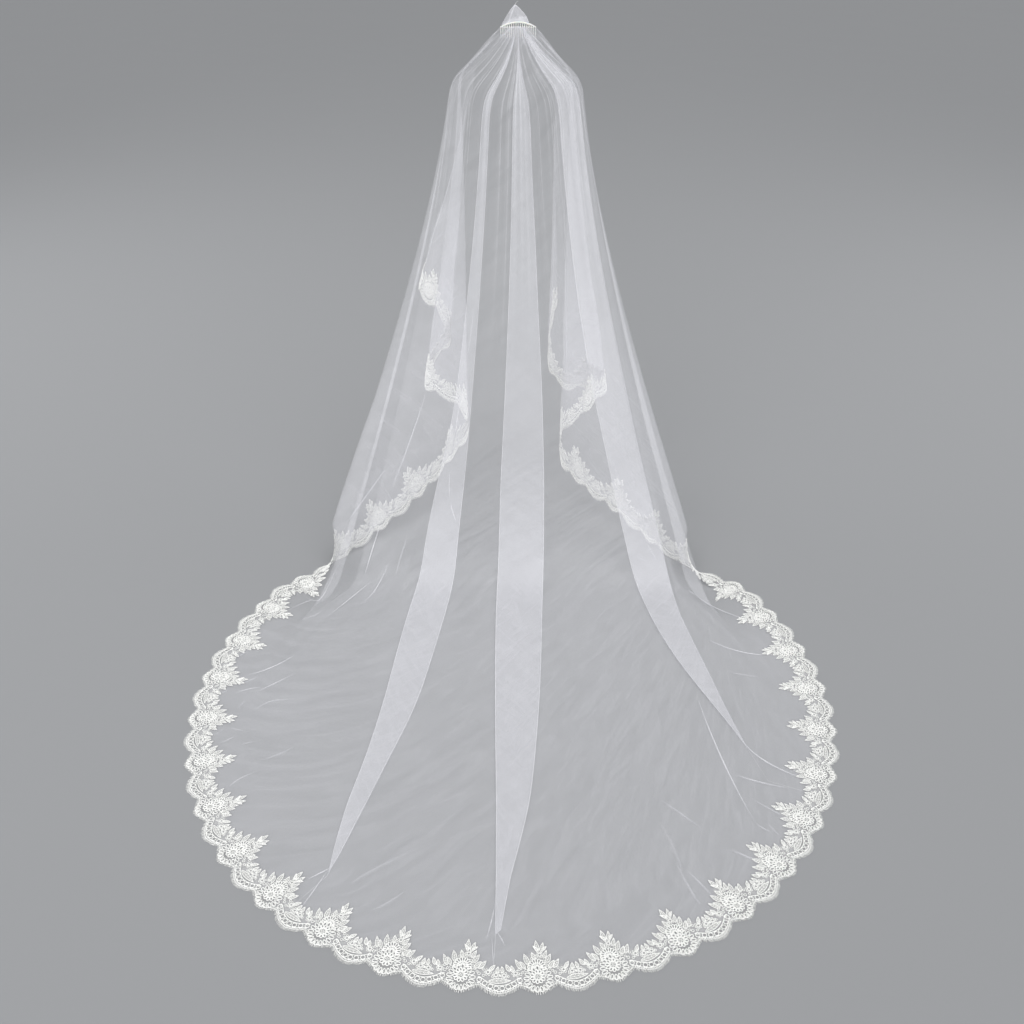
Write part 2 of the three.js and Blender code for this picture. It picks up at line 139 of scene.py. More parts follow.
# Front falls in millimetres, from the floor corner up: hem x, y, z, then shoulder x, y, z
LEFT_FALL = np.array([
    [614, 548, -1499, 190, 0, -150],
    [560, 487, -1492, 188, -4, -149],
    [455, 385, -1457, 184, -9, -147],
    [336, 280, -1400, 178, -14, -145],
    [230, 170, -1325, 170, -19, -142],
    [158, 66, -1248, 160, -24, -138],
    [215, 20, -1165, 162, -32, -138],
    [300, -8, -1131, 166, -40, -139],
    [272, -42, -1050, 156, -47, -135],
    [216, -62, -985, 144, -53, -130],
    [262, -92, -888, 138, -58, -127],
    [316, -112, -838, 130, -62, -124],
    [298, -136, -772, 117, -64, -117],
]) * MM
RIGHT_FALL = np.array([
    [-583, 566, -1499, -190, 0, -150],
    [-520, 505, -1494, -188, -4, -149],
    [-430, 405, -1472, -184, -9, -147],
    [-325, 290, -1432, -178, -14, -145],
    [-225, 190, -1400, -170, -19, -142],
    [-152, 100, -1356, -160, -24, -138],
    [-160, 8, -1288, -158, -30, -137],
    [-235, -34, -1240, -164, -36, -139],
    [-304, -46, -1150, -160, -42, -137],
    [-248, -82, -1165, -150, -48, -133],
    [-176, -106, -1185, -140, -53, -129],
    [-114, -122, -1120, -128, -58, -124],
    [-112, -136, -1010, -120, -62, -120],
    [-137, -150, -886, -112, -64, -116],
]) * MM
# Rows of the tables above at which each fall folds back on itself, counted from the floor corner
LEFT_FOLDS = (5, 7, 9, 11)
RIGHT_FOLDS = (5, 8, 10, 11)

# Doubled pleats down the back. Down is 0 at the comb, 1 at the shoulder, 2 where the sheet comes to
# rest and 3 at the lace's inner line. Left and right edges are millimetres along the hem from the
# centre back, + to the left.
PLEATS = {
    "left": np.array([
        [0.0, 470, 400], [1.0, 530, 400], [1.41, 545, 392], [1.64, 560, 388], [1.77, 632, 388],
        [1.90, 682, 398], [2.09, 665, 390], [2.47, 578, 414], [2.67, 560, 472], [2.82, 566, 505],
        [2.95, 552, 532], [2.99, 545, 545], [4.0, 545, 545],
    ]),
    "centre": np.array([
        [0.0, 5, -45], [1.0, 40, -190], [1.28, 56, -219], [1.6, 88, -219], [1.785, 105, -199],
        [2.085, 105, -146], [2.43, 76, -106], [2.71, 51, -62], [2.895, 41, 2], [3.06, 36, 36],
        [4.0, 36, 36],
    ]),
    "right": np.array([
        [0.0, -700, -1000], [1.0, -740, -1380], [1.41, -744, -1456], [1.585, -776, -1470],
        [1.715, -826, -1464], [1.82, -852, -1490], [1.965, -900, -1515], [2.1, -880, -1335],
        [2.21, -858, -1180], [2.4, -880, -1100], [2.7, -960, -1010], [2.86, -992, -992],
        [4.0, -992, -992],
    ]),
}

# How far a crease stands off the sheet, hanging or lying from this far down, and how high it rises
LYING = 2.6
CREASE_LIFT = {"hanging": 4.8 * MM, "lying": 2.2 * MM}
CREASE_RISE = 1.5 * MM
# Its section: place in its half width, height in its rise, and strength
CREASE_SECTION = np.array([[-1, -0.8, 0], [-0.4, 0.2, 0.55], [0, 1, 1], [0.4, 0.2, 0.55], [1, -0.8, 0]])

# Thin creases of the single sheet, each a curve through three places on it. A place is
# millimetres along the hem from the centre back, then down as above. Then come the crease's
# half width in millimetres and how strongly it shows.
CREASES = np.array([
    [2491, 2.39, 2451, 2.81, 2353, 3.44, 3.5, 0.9],
    [2432, 2.925, 2402, 3.165, 2348, 3.465, 5.0, 0.35],
    [444, 1.41, 463, 1.495, 488, 1.555, 2.0, 0.5],
    [488, 1.555, 517, 1.665, 537, 1.76, 2.5, 0.6],
    [2373, 2.885, 2275, 3.07, 2142, 3.375, 3.0, 1.0],
    [1352, 1.875, 1420, 1.93, 1470, 1.99, 2.5, 0.9],
    [880, 1.905, 920, 1.95, 939, 1.995, 3.0, 0.4],
    [1062, 1.96, 1100, 2.06, 1131, 2.17, 3.0, 0.7],
    [1258, 1.995, 1362, 2.17, 1430, 2.39, 3.0, 0.8],
    [1951, 2.695, 1927, 3.1, 1901, 3.55, 2.5, 0.8],
    [1911, 3.175, 1850, 3.28, 1789, 3.415, 2.5, 0.6],
    [1587, 2.41, 1656, 2.605, 1759, 2.975, 2.5, 0.6],
    [1528, 3.65, 1553, 3.565, 1578, 3.48, 2.0, 0.6],
    [1460, 3.255, 1445, 2.89, 1342, 2.63, 3.5, 0.9],
    [1416, 3.32, 1435, 3.17, 1460, 3.03, 2.5, 0.5],
    [1371, 3.645, 1381, 3.57, 1391, 3.5, 2.0, 0.5],
    [1371, 3.35, 1391, 3.18, 1362, 2.93, 3.0, 0.6],
    [1376, 3.005, 1298, 2.815, 1204, 2.645, 3.5, 0.6],
    [1303, 3.235, 1327, 3.17, 1352, 3.11, 3.0, 0.35],
    [1258, 2.955, 1219, 2.845, 1077, 2.705, 3.5, 0.5],
    [1204, 3.585, 1214, 3.495, 1224, 3.41, 2.5, 0.4],
    [1224, 3.335, 1214, 3.19, 1204, 3.05, 2.5, 0.4],
    [1165, 3.52, 1175, 3.35, 1190, 3.18, 2.5, 0.5],
    [1146, 3.125, 1150, 3.005, 1121, 2.96, 3.0, 0.35],
    [1018, 2.945, 959, 2.87, 905, 2.8, 5.0, 0.35],
    [988, 3.435, 1008, 3.25, 1008, 2.985, 3.0, 0.6],
    [542, 2.98, 566, 3.06, 576, 3.275, 3.0, 1.0],
    [547, 2.985, 537, 3.34, 522, 3.765, 2.5, 0.9],
    [463, 2.99, 414, 2.94, 291, 2.855, 7.0, 0.3],
    [375, 3.175, 341, 2.99, 296, 2.95, 5.0, 0.35],
    [41, 2.945, 51, 2.99, 61, 3.265, 3.0, 0.8],
    [36, 3.025, 21, 3.16, 12, 3.28, 2.5, 0.9],
    [46, 3.085, 41, 3.36, 36, 3.65, 2.0, 0.7],
    [-499, 2.93, -509, 3.14, -499, 3.475, 5.0, 0.35],
    [-528, 2.975, -543, 3.175, -538, 3.525, 4.0, 0.45],
    [-695, 3.08, -700, 3.325, -700, 3.595, 3.0, 0.5],
    [-690, 3.055, -700, 3.325, -715, 3.595, 4.0, 0.45],
    [-514, 2.785, -572, 2.845, -631, 2.915, 4.0, 0.4],
    [-489, 2.84, -509, 2.91, -514, 2.98, 7.0, 0.25],
    [-882, 2.575, -838, 2.8, -818, 3.125, 3.5, 1.0],
    [-818, 3.125, -813, 3.275, -813, 3.42, 3.0, 0.5],
    [-990, 2.835, -1039, 2.965, -1034, 3.605, 3.5, 1.0],
    [-1034, 3.605, -1019, 3.65, -1004, 3.695, 2.5, 0.4],
    [-852, 2.865, -946, 2.965, -985, 3.37, 3.5, 0.7],
    [-867, 2.96, -887, 3.23, -877, 3.67, 3.0, 0.5],
    [-838, 3.28, -823, 3.44, -813, 3.59, 2.5, 0.35],
    [-1186, 2.625, -1309, 2.76, -1436, 2.96, 3.0, 0.4],
    [-1240, 2.44, -1476, 2.775, -1554, 3.45, 3.5, 0.8],
    [-1751, 2.265, -1814, 2.915, -1711, 3.6, 3.5, 0.9],
    [537, 1.76, 521, 1.8, 503, 1.83, 2.5, 0.6],
    [503, 1.83, 456, 1.86, 409, 1.885, 3.0, 0.7],
    [-882, 1.74, -943, 1.785, -1004, 1.825, 2.5, 0.5],
    [-1142, 1.91, -1250, 1.94, -1358, 1.97, 2.5, 0.5],
])


# Small numpy helpers

def unit(vectors):
    """Vectors divided by their lengths."""
    return vectors / np.maximum(np.linalg.norm(vectors, axis=-1, keepdims=True), 1e-12)


def smooth(x):
    """3x^2 - 2x^3 with x held between 0 and 1."""
    held = np.clip(x, 0, 1)
    return held * held * (3 - 2 * held)


def mix(a, b, share):
    """a + (b - a) * share, with one share per point."""
    return a + (b - a) * np.asarray(share)[..., None]


def columns_at(x, places, table):
    """Each column of a table read at x by straight lines between its places."""
    return np.stack([np.interp(x, places, table[:, k]) for k in range(table.shape[1])], -1)


def each_at(x, rows):
    """Every row of places and values read at x by straight lines."""
    return (np.interp(x, places, values) for places, values in rows.values())


# The hem and the sheet that hangs between it and the comb

def ellipse_hem():
    """Points centre + half size * (cos, sin) of evenly spaced angles, on the floor."""
    start = TRAIN["free_angle"] - TRAIN["corner_angle"]
    angle = np.radians(np.linspace(start, 180 - start, TRAIN["steps"] + 1))
    x = TRAIN["centre_x"] + TRAIN["half_width"] * np.cos(angle)
    y = TRAIN["centre_y"] + TRAIN["half_length"] * np.sin(angle)
    return np.column_stack([x, y, np.full_like(x, SHEET_Z)])


def centripetal_curve(points):
    """Catmull-Rom curve whose knots lie apart by the root of the distance between points."""
    held = np.vstack([2 * points[0] - points[1], points, 2 * points[-1] - points[-2]])
    p0, p1, p2, p3 = held[:-3], held[1:-2], held[2:-1], held[3:]
    d0, d1, d2 = (np.sqrt(np.linalg.norm(b - a, axis=1))[:, None]
                  for a, b in ((p0, p1), (p1, p2), (p2, p3)))
    t1 = ((p1 - p0) / d0 - (p2 - p0) / (d0 + d1) + (p2 - p1) / d1) * d1
    t2 = ((p2 - p1) / d1 - (p3 - p1) / (d1 + d2) + (p3 - p2) / d2) * d1
    u = (np.arange(HEM_DIVISIONS) / HEM_DIVISIONS)[None, :, None]
    cubic = ((2 * u**3 - 3 * u**2 + 1) * p1[:, None] + (u**3 - 2 * u**2 + u) * t1[:, None]
             + (3 * u**2 - 2 * u**3) * p2[:, None] + (u**3 - u**2) * t2[:, None])
    return np.vstack([cubic.reshape(-1, 3), points[-1:]])


HEM = centripetal_curve(np.vstack([LEFT_FALL[::-1, :3], ellipse_hem(), RIGHT_FALL[:, :3]]))
HEM_AT = np.concatenate([[0], np.cumsum(np.linalg.norm(np.diff(HEM, axis=0), axis=1))])
KNOTS = HEM_AT[::HEM_DIVISIONS]
LENGTH = HEM_AT[-1]
LEFT_CORNER = KNOTS[len(LEFT_FALL) - 1]
RIGHT_CORNER = KNOTS[-len(RIGHT_FALL)]
CENTRE_BACK = (LEFT_CORNER + RIGHT_CORNER) / 2
HALF_TRAIN = (RIGHT_CORNER - LEFT_CORNER) / 2


def hem_point(s):
    """The hem's point at distance s along it."""
    return columns_at(s, HEM_AT, HEM)


def along_hem(s):
    """Unit direction of the hem at s."""
    return unit(hem_point(s + TANGENT_STEP) - hem_point(s - TANGENT_STEP))


def past_corner(s):
    """Distance along the hem from the nearer floor corner, more than 0 on the train."""
    return np.minimum(s - LEFT_CORNER, RIGHT_CORNER - s)


def fan(s):
    """Side of the centre back, and 1 - (1 - share)^FAN of the half train."""
    share = (CENTRE_BACK - s) / HALF_TRAIN
    spread = 1 - (1 - np.clip(abs(share), 0, 1)) ** FAN
    return np.where(share < 0, -1.0, 1.0), spread


def shoulder_point(s):
    """Where the rib at s crosses the shoulders: a parabola across the back, then the tables."""
    side, spread = fan(s)
    x = side * SHOULDER["half_width"] * spread
    y = SHOULDER["back_y"] * (1 - spread**2)
    z = SHOULDER["back_z"] + (SHOULDER["tip_z"] - SHOULDER["back_z"]) * spread**2
    away = abs(s - CENTRE_BACK)
    left = columns_at(away, CENTRE_BACK - KNOTS[:len(LEFT_FALL)][::-1], LEFT_FALL[:, 3:])
    right = columns_at(away, KNOTS[-len(RIGHT_FALL):] - CENTRE_BACK, RIGHT_FALL[:, 3:])
    falls = np.where((s < CENTRE_BACK)[..., None], left, right)
    return np.where((past_corner(s) > 0)[..., None], np.stack([x, y, z], -1), falls)


def inward_direction(s):
    """Direction of the lace's width: flat on the train, towards the shoulder on the falls."""
    along, here = along_hem(s), hem_point(s)
    up = unit(shoulder_point(s) - here)
    past = past_corner(s)
    square = 1 - smooth((-past - SQUARE["until"]) / (SQUARE["gone"] - SQUARE["until"]))
    up = unit(up - (square * (up * along).sum(-1))[..., None] * along)
    lift = 1 - smooth((past + TWIST["before"]) / (TWIST["before"] + TWIST["after"]))
    flat = unit(np.cross(along, [0, 0, 1.0]))
    inside = (flat[..., 0] * (TRAIN["centre_x"] - here[..., 0])
              + flat[..., 1] * (TRAIN["centre_y"] - here[..., 1]))
    return unit(mix(flat * np.where(inside < 0, -1, 1)[..., None], up, lift))


def border_point(s, inwards):
    """hem + inwards * inward direction, never under the floor."""
    point = hem_point(s) + inward_direction(s) * np.asarray(inwards)[..., None]
    point[..., 2] = np.maximum(point[..., 2], SHEET_Z)
    return point


def spine_top(x):
    """Height of the comb's spine: rise * (1 - (x / half width)^2)."""
    return COMB["rise"] * (1 - ((x - COMB["middle_x"]) / (COMB["width"] / 2)) ** 2)


def comb_point(s):
    """Where a rib leaves the comb, with the falls in the outer shares of the gathered width."""
    left = np.minimum(1, s / LEFT_CORNER)
    middle = np.clip((s - LEFT_CORNER) / (2 * HALF_TRAIN), 0, 1)
    right = np.maximum(0, (s - RIGHT_CORNER) / (LENGTH - RIGHT_CORNER))
    share = GATHER["fall_share"] * (left + right) + (1 - 2 * GATHER["fall_share"]) * middle
    x = COMB["middle_x"] + GATHER["width"] * (0.5 - share)
    return np.stack([x, np.full_like(x, GATHER["y"]), np.full_like(x, -COMB["spine"] / 2)], -1)


def landing_point(s):
    """Where a rib meets the floor, blended into the border near the floor corners."""
    side, spread = fan(s)
    x = side * TOUCHDOWN["half_width"] * spread
    y = TOUCHDOWN["centre_y"] + (TOUCHDOWN["corner_y"] - TOUCHDOWN["centre_y"]) * spread**2
    landing = np.stack([x, y, np.full_like(x, SHEET_Z)], -1)
    inner = border_point(s, np.full_like(s, INNER_LINE))
    lift = 1 - smooth(past_corner(s) / LIFT_LENGTH)
    return np.where((past_corner(s) > 0)[..., None], mix(landing, inner, lift), inner)


def hang(top, end, share):
    """Straight down in z, and share^FLARE of the way sideways."""
    point = mix(top, end, share**FLARE)
    point[..., 2] = top[..., 2] + (end[..., 2] - top[..., 2]) * share
    return point


def drape(s, down):
    """The undisturbed sheet. Down runs 0-1 from comb to shoulder, 1-2 to where it rests,
    2-3 to the lace's inner line and 3-4 across the border to the hem."""
    s, down = np.broadcast_arrays(np.asarray(s, float), np.asarray(down, float))
    shoulder = shoulder_point(s)
    neck_share = np.clip(down, 0, 1)
    top = comb_point(s)
    neck = mix(top, shoulder, neck_share)
    _, spread = fan(s)
    straight = 1 + NECK_DROP * (1 - spread) * (past_corner(s) > 0)
    neck[..., 0] = top[..., 0] + (shoulder[..., 0] - top[..., 0]) * neck_share**straight
    neck[..., 1] += NAPE_BULGE * np.sin(np.pi * neck_share)
    landing = landing_point(s)
    rest_share = REST_FRACTION + (1 - REST_FRACTION) * smooth(past_corner(s) / REST_LENGTH)
    fall = hang(shoulder, landing, rest_share * np.clip(down - 1, 0, 1))
    rest = hang(shoulder, landing, rest_share)
    inner = border_point(s, np.full_like(s, INNER_LINE))
    floor = mix(rest, inner, np.clip(down - 2, 0, 1))
    edge = border_point(s, INNER_LINE * (1 - np.clip(down - 3, 0, 1)))
    stretches = [(down < k)[..., None] for k in (1, 2, 3)]
    return np.select(stretches, [neck, fall, floor], edge)


def drape_normal(s, down):
    """Cross product of the drape's steps down and along, which points out of the veil."""
    step_s, step_down = 4 * MM, 0.01
    along = drape(s + step_s, down) - drape(s - step_s, down)
    below = np.minimum(down + step_down, 4)
    above = np.maximum(down - step_down, 0)
    return unit(np.cross(drape(s, below) - drape(s, above), along))


# Columns of the cloth: lanes between stations along the hem, three deep on a pleat

def eased(count):
    """Shares 0 to 1 that crowd at both ends: (1 - cos(pi t)) / 2."""
    return (1 - np.cos(np.pi * np.arange(count) / (count - 1))) / 2


def cloth_columns(down):
    """Hem distance, layer height, fold mark and outer mark of every column on every row.
    A pleat runs under, back and over between its two edges, and the layer height settles
    to nothing past it. The sheet is folded at the ends of its lanes, but not at the two
    floor corners."""
    layer = LAYER * (0.3 + 0.7 * smooth(down / 0.6))
    parts = []

    def add(s, height, fold, outer):
        shape = np.broadcast_shapes(np.shape(s), (len(down), 1))
        parts.append([np.broadcast_to(a, shape).astype(float) for a in (s, height, fold, outer)])

    def lane(start, end, count, height, outer=1.0, skip_first=True):
        share = eased(count)[None, int(skip_first):]
        s = start + (end - start) * share
        folded = ((share == 0) | (share == 1)) & (abs(past_corner(s)) > MM)
        add(s, height, folded, outer)

    def fall(stops):
        for start, end in zip(stops[:-1], stops[1:]):
            count = max(FEWEST_COLUMNS, int((end - start) / COLUMN_PITCH))
            lane(start, end, count, 0.0, skip_first=start > 0)

    def single_layer(start, end, count, lift):
        settle = 1 - smooth(eased(count)[None, 1:] * (end - start) / PLEAT_SETTLES)
        lane(start, end, count, lift * settle)

    stations = KNOTS[[len(LEFT_FALL) - 1 - k for k in LEFT_FOLDS[::-1]]]
    fall(np.concatenate([[0], stations, [LEFT_CORNER]]))
    before, lift = LEFT_CORNER, np.zeros((len(down), 1))
    for name, (beside, across) in PLEAT_COLUMNS.items():
        places, *edges = PLEATS[name].T
        left, right = (CENTRE_BACK - np.interp(down, places, edge) * MM for edge in edges)
        opened = np.clip((right - left) / PLEAT_OPENS, 0, 1)
        single_layer(before, left, beside, lift)
        lane(left, right, across, 0.0, outer=0.0)
        add(right + FOLD_RADIUS * opened, layer * opened / 2, 0.6, 0.0)
        lane(right, left, across, layer * opened, outer=0.0, skip_first=False)
        add(left - FOLD_RADIUS * opened, 1.5 * layer * opened, 0.6, 0.0)
        lane(left, right, across, 2 * layer * opened, skip_first=False)
        before, lift = right, 2 * layer * opened
    single_layer(before, RIGHT_CORNER, LAST_COLUMNS, lift)
    first = len(KNOTS) - len(RIGHT_FALL)
    fall(np.concatenate([[RIGHT_CORNER], KNOTS[[first + k for k in RIGHT_FOLDS]], [LENGTH]]))
    return [np.hstack([part[k] for part in parts]) for k in range(4)]


def cloth_rows():
    """Down values of the rows, close together at the comb and even in real length below it."""
    neck = np.linspace(0, 1, 21)[:-1]
    fall = np.linspace(1, 2, 61)[:-1]
    floor = np.linspace(2, 3, 37)[:-1]
    border = np.linspace(3, 3.93, 12)
    return np.concatenate([neck, fall, floor, border])[:, None]


def ripples(s, down, cloth):
    """Heights of the gathers at the comb and the soft waves below: sums of sines along the hem
    and the cloth, each faded out over its own stretch down."""
    turn = 2 * np.pi * s / LENGTH
    middle = 0.15 + 0.85 * smooth(past_corner(s) / 0.4)
    broad, gathered, hanging, lying = each_at(down, RIPPLES)
    folds = 1 - np.cos(7 * turn)
    gathers = 1.2 + np.sin(61 * turn + 3 * np.sin(5 * turn)) + 0.5 * np.sin(137 * cloth + 2 * turn)
    waves = np.sin(23 * turn + 1.7 * np.sin(3 * turn) + 0.8 * down)
    swells = 1 + np.sin(31 * turn + 2.2 * np.sin(4 * turn) + 2.0 * down)
    return (broad * folds + gathered * middle * gathers + hanging * waves + lying * swells) * MM


def gather_cover(s, down, outer):
    """How much denser the net is where it is gathered: drawn together at the comb, and in
    narrow folds along some of the columns that fade out below the shoulder. Strongest over
    the train's own width. A hanging net is seen more squarely through its holes than a lying
    one, and a pleat's inner layers crowd together."""
    random = np.random.default_rng(11)
    drawn, folds, square = each_at(down, DENSITY)
    middle = smooth(past_corner(s) / 0.5)
    drawn = drawn * (0.2 + 0.8 * middle)
    folds = folds * (0.35 + 0.65 * middle)
    strong = random.random(s.shape[1]) ** 5
    long = 1.15 + 0.75 * random.random(s.shape[1])
    fade = 1 - smooth((down - 0.75) / (long - 0.75))
    corner = 1 - 0.62 * np.exp(-(((past_corner(s) - 0.1) / 0.17) ** 2)) * smooth((down - 1.7) / 0.4)
    return (1 + drawn + folds * strong * fade) * square * corner * np.where(outer > 0, 1, 1.05)


def settled(points, down, passes=10):
    """Rows averaged with their neighbours, fully on the fall and not at all on the border."""
    weight = (smooth(down / 0.25) * (1 - smooth((down - 2.55) / 0.4)))[..., None]
    for _ in range(passes):
        mean = points.copy()
        mean[1:-1] = (points[:-2] + 2 * points[1:-1] + points[2:]) / 4
        points = points + (mean - points) * weight
    return points


def tulle_sheet():
    """Grid of points, hem distances, fold marks and density of the draped cloth."""
    down = cloth_rows()
    s, height, fold, outer = cloth_columns(down)
    down = np.broadcast_to(down, s.shape)
    cloth = np.linspace(0, 1, s.shape[1])[None, :] * np.ones_like(s)
    normal = drape_normal(s, down)
    points = settled(drape(s, down), down)
    points = points + normal * (height + ripples(s, down, cloth * LENGTH))[..., None]
    points[..., 2] = np.maximum(points[..., 2], SHEET_Z)
    return points, s, fold, gather_cover(s, down, outer)


# Meshes and materials

def grid_faces(rows, columns, offset=0):
    """Quads of a grid of rows * columns vertices."""
    index = offset + np.arange(rows * columns).reshape(rows, columns)
    corners = [index[:-1, :-1], index[1:, :-1], index[1:, 1:], index[:-1, 1:]]
    return np.stack(corners, -1).reshape(-1, 4)


def new_mesh(name, points, faces, makers, uv=None, values=None, slots=None):
    """Mesh object from arrays of points and faces (all triangles or all quads), with the
    materials that the makers make, a UV map in metres, float attributes by name and a
    material number for each face."""
    mesh = bpy.data.meshes.new(name)
    corners = faces.shape[1]
    mesh.vertices.add(len(points))
    mesh.vertices.foreach_set("co", np.asarray(points, np.float32).ravel())
    mesh.loops.add(faces.size)
    mesh.loops.foreach_set("vertex_index", faces.astype(np.int32).ravel())
    mesh.polygons.add(len(faces))
    mesh.polygons.foreach_set("loop_start", np.arange(0, faces.size, corners, dtype=np.int32))
    mesh.polygons.foreach_set("loop_total", np.full(len(faces), corners, np.int32))
    mesh.polygons.foreach_set("use_smooth", np.full(len(faces), True))
    if slots is not None:
        mesh.polygons.foreach_set("material_index", slots.astype(np.int32))
    mesh.update(calc_edges=True)
    if uv is not None:
        layer = mesh.uv_layers.new(name="UVMap")
        layer.data.foreach_set("uv", np.asarray(uv, np.float32)[faces.ravel()].ravel())
    for key, array in (values or {}).items():
        attribute = mesh.attributes.new(key, "FLOAT", "POINT")
        attribute.data.foreach_set("value", np.asarray(array, np.float32).ravel())
    for maker in makers:
        mesh.materials.append(shared_material(maker))
    made = bpy.data.objects.new(name, mesh)
    bpy.context.scene.collection.objects.link(made)
    return made


def put(piece, slot, *nodes):
    """The piece rides on the only body and stands for the nodes. The slot is not used."""
    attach(piece, "root")
    if nodes:
        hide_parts(*nodes)


def srgb(hex_colour):
    """Red, green and blue, 0 to 1, of a hex colour."""
    return [int(hex_colour[k:k + 2], 16) / 255 for k in (1, 3, 5)]


def linear(colour):
    """sRGB red, green and blue to the linear colour that shaders take."""
    values = [c / 12.92 if c <= 0.04045 else ((c + 0.055) / 1.055) ** 2.4 for c in colour]
    return (*values, 1.0)


def add_node(tree, kind, inputs=None, **settings):
    """A shader node with its settings and its inputs. An input is a value, a socket to link,
    or a node, which stands for its first output."""
    made = tree.nodes.new("ShaderNode" + kind)
    for name, value in settings.items():
        setattr(made, name, value)
    for name, value in (inputs or {}).items():
        source = value.outputs[0] if isinstance(value, bpy.types.Node) else value
        if isinstance(source, bpy.types.NodeSocket):
            tree.links.new(source, made.inputs[name])
        else:
            made.inputs[name].default_value = source
    return made


def shared_material(maker):
    """The material named after its maker, made once. The maker fills an empty node tree and
    returns the shader."""
    material = bpy.data.materials.get(maker.__name__)
    if material is None:
        material = bpy.data.materials.new(maker.__name__)
        material.use_nodes = True
        tree = material.node_tree
        tree.nodes.clear()
        add_node(tree, "OutputMaterial", {"Surface": maker(tree, bpy.context.scene.veil_look)})
    return material


def net_pattern(tree, thread_spacing):
    """1 on the threads of a net and 0 in its holes, on the UV map in metres."""
    uv = add_node(tree, "UVMap", uv_map="UVMap")
    cells = add_node(tree, "TexVoronoi", {
        "Vector": uv, "Scale": 1 / thread_spacing, "Randomness": 0.25,
    }, feature="DISTANCE_TO_EDGE", voronoi_dimensions="2D")
    return add_node(tree, "MapRange", {
        "Value": cells, "From Min": 0.05, "From Max": 0.2, "To Min": 1.0, "To Max": 0.0,
    })


def nylon_tulle(tree, look):
    """Knotted nylon net: nearly clear, whiter where it is folded, with a soft sheen. The real
    mesh of 1.2 mm is drawn at 4 mm, because the finer one would not show. Soft clouds 38 mm
    wide and three times as long stand for the watered look of one net over another."""
    threads = net_pattern(tree, 4 * MM)
    share = add_node(tree, "MapRange", {"Value": threads, "To Min": 0.82, "To Max": 1.3})
    uv = add_node(tree, "UVMap", uv_map="UVMap")
    drawn_out = add_node(tree, "Mapping", {"Vector": uv, "Scale": (1.0, 0.3, 1.0)})
    clouds = add_node(tree, "TexNoise", {
        "Vector": drawn_out, "Scale": 1 / (38.46 * MM), "Detail": 4.0, "Distortion": 1.2,
    })
    crowding = add_node(tree, "MapRange", {
        "Value": clouds, "From Min": 0.3, "From Max": 0.7, "To Min": 0.8, "To Max": 1.2,
    })
    net = add_node(tree, "Math", {0: share, 1: crowding}, operation="MULTIPLY")
    cover = add_node(tree, "Attribute", attribute_name="cover").outputs["Fac"]
    alpha = add_node(tree, "Math", {0: cover, 1: net}, operation="MULTIPLY", use_clamp=True)
    bump = add_node(tree, "Bump", {"Height": threads, "Strength": 0.25, "Distance": 0.3 * MM})
    return add_node(tree, "BsdfPrincipled", {
        "Base Color": linear(look.tulle_colour), "Roughness": 0.62, "Sheen Weight": 0.35,
        "Sheen Roughness": 0.45, "Specular IOR Level": 0.35, "Alpha": alpha, "Normal": bump,
    })


def viscose_cord(tree, look):
    """Twisted viscose cord couched on the lace: ivory white with a soft gleam and a diagonal
    twist. The real twist of 0.8 mm is drawn at 6.3 mm so that it shows. A band of the wave
    texture is pi / 5 of its own units long."""
    uv = add_node(tree, "UVMap", uv_map="UVMap")
    twist = add_node(tree, "TexWave", {
        "Vector": uv, "Scale": math.pi / 5 / (6.313 * MM), "Distortion": 1.5, "Detail": 2.0,
        "Detail Scale": 1.0,
    }, wave_type="BANDS", bands_direction="DIAGONAL").outputs["Fac"]
    fluff = add_node(tree, "TexNoise", {"Vector": uv, "Scale": 1 / (9 * MM), "Detail": 3.0})
    tint = add_node(tree, "Mix", {
        0: fluff, 6: linear(look.lace_shade), 7: linear(look.lace_colour),
    }, data_type="RGBA").outputs[2]
    bump = add_node(tree, "Bump", {"Height": twist, "Strength": 0.5, "Distance": 0.25 * MM})
    return add_node(tree, "BsdfPrincipled", {
        "Base Color": tint, "Roughness": 0.5, "Sheen Weight": 0.3, "Sheen Roughness": 0.4,
        "Normal": bump,
    })


def cotton_net(tree, look, spacing, hole_cover, thread_cover):
    """Cotton net with holes between its threads, at a spacing in metres."""
    alpha = add_node(tree, "MapRange", {
        "Value": net_pattern(tree, spacing), "To Min": hole_cover, "To Max": thread_cover,
    })
    return add_node(tree, "BsdfPrincipled", {
        "Base Color": linear(look.lace_shade), "Roughness": 0.8, "Alpha": alpha,
    })


def cotton_net_ground(tree, look):
    """Sheer cotton net that the motifs are worked on, drawn at 2.4 mm for the real 1 mm."""
    return cotton_net(tree, look, 2.4 * MM, 0.06, 0.36)


def cotton_linen_stitch(tree, look):
    """Close linen stitch that fills the leaves, of cotton, drawn at 1.8 mm for the real 0.8."""
    return cotton_net(tree, look, 1.8 * MM, 0.22, 0.6)


def moulded_acetate(tree, look):
    """Injection moulded acetate of the comb: milky, satin, with faint flow marks."""
    where = add_node(tree, "TexCoord").outputs["Object"]
    flow = add_node(tree, "TexNoise", {"Vector": where, "Scale": 1 / (6 * MM), "Detail": 2.0})
    rough = add_node(tree, "MapRange", {"Value": flow, "To Min": 0.22, "To Max": 0.42})
    return add_node(tree, "BsdfPrincipled", {
        "Base Color": linear(look.comb_colour), "Roughness": rough, "IOR": 1.49,
        "Subsurface Weight": 0.15,
    })


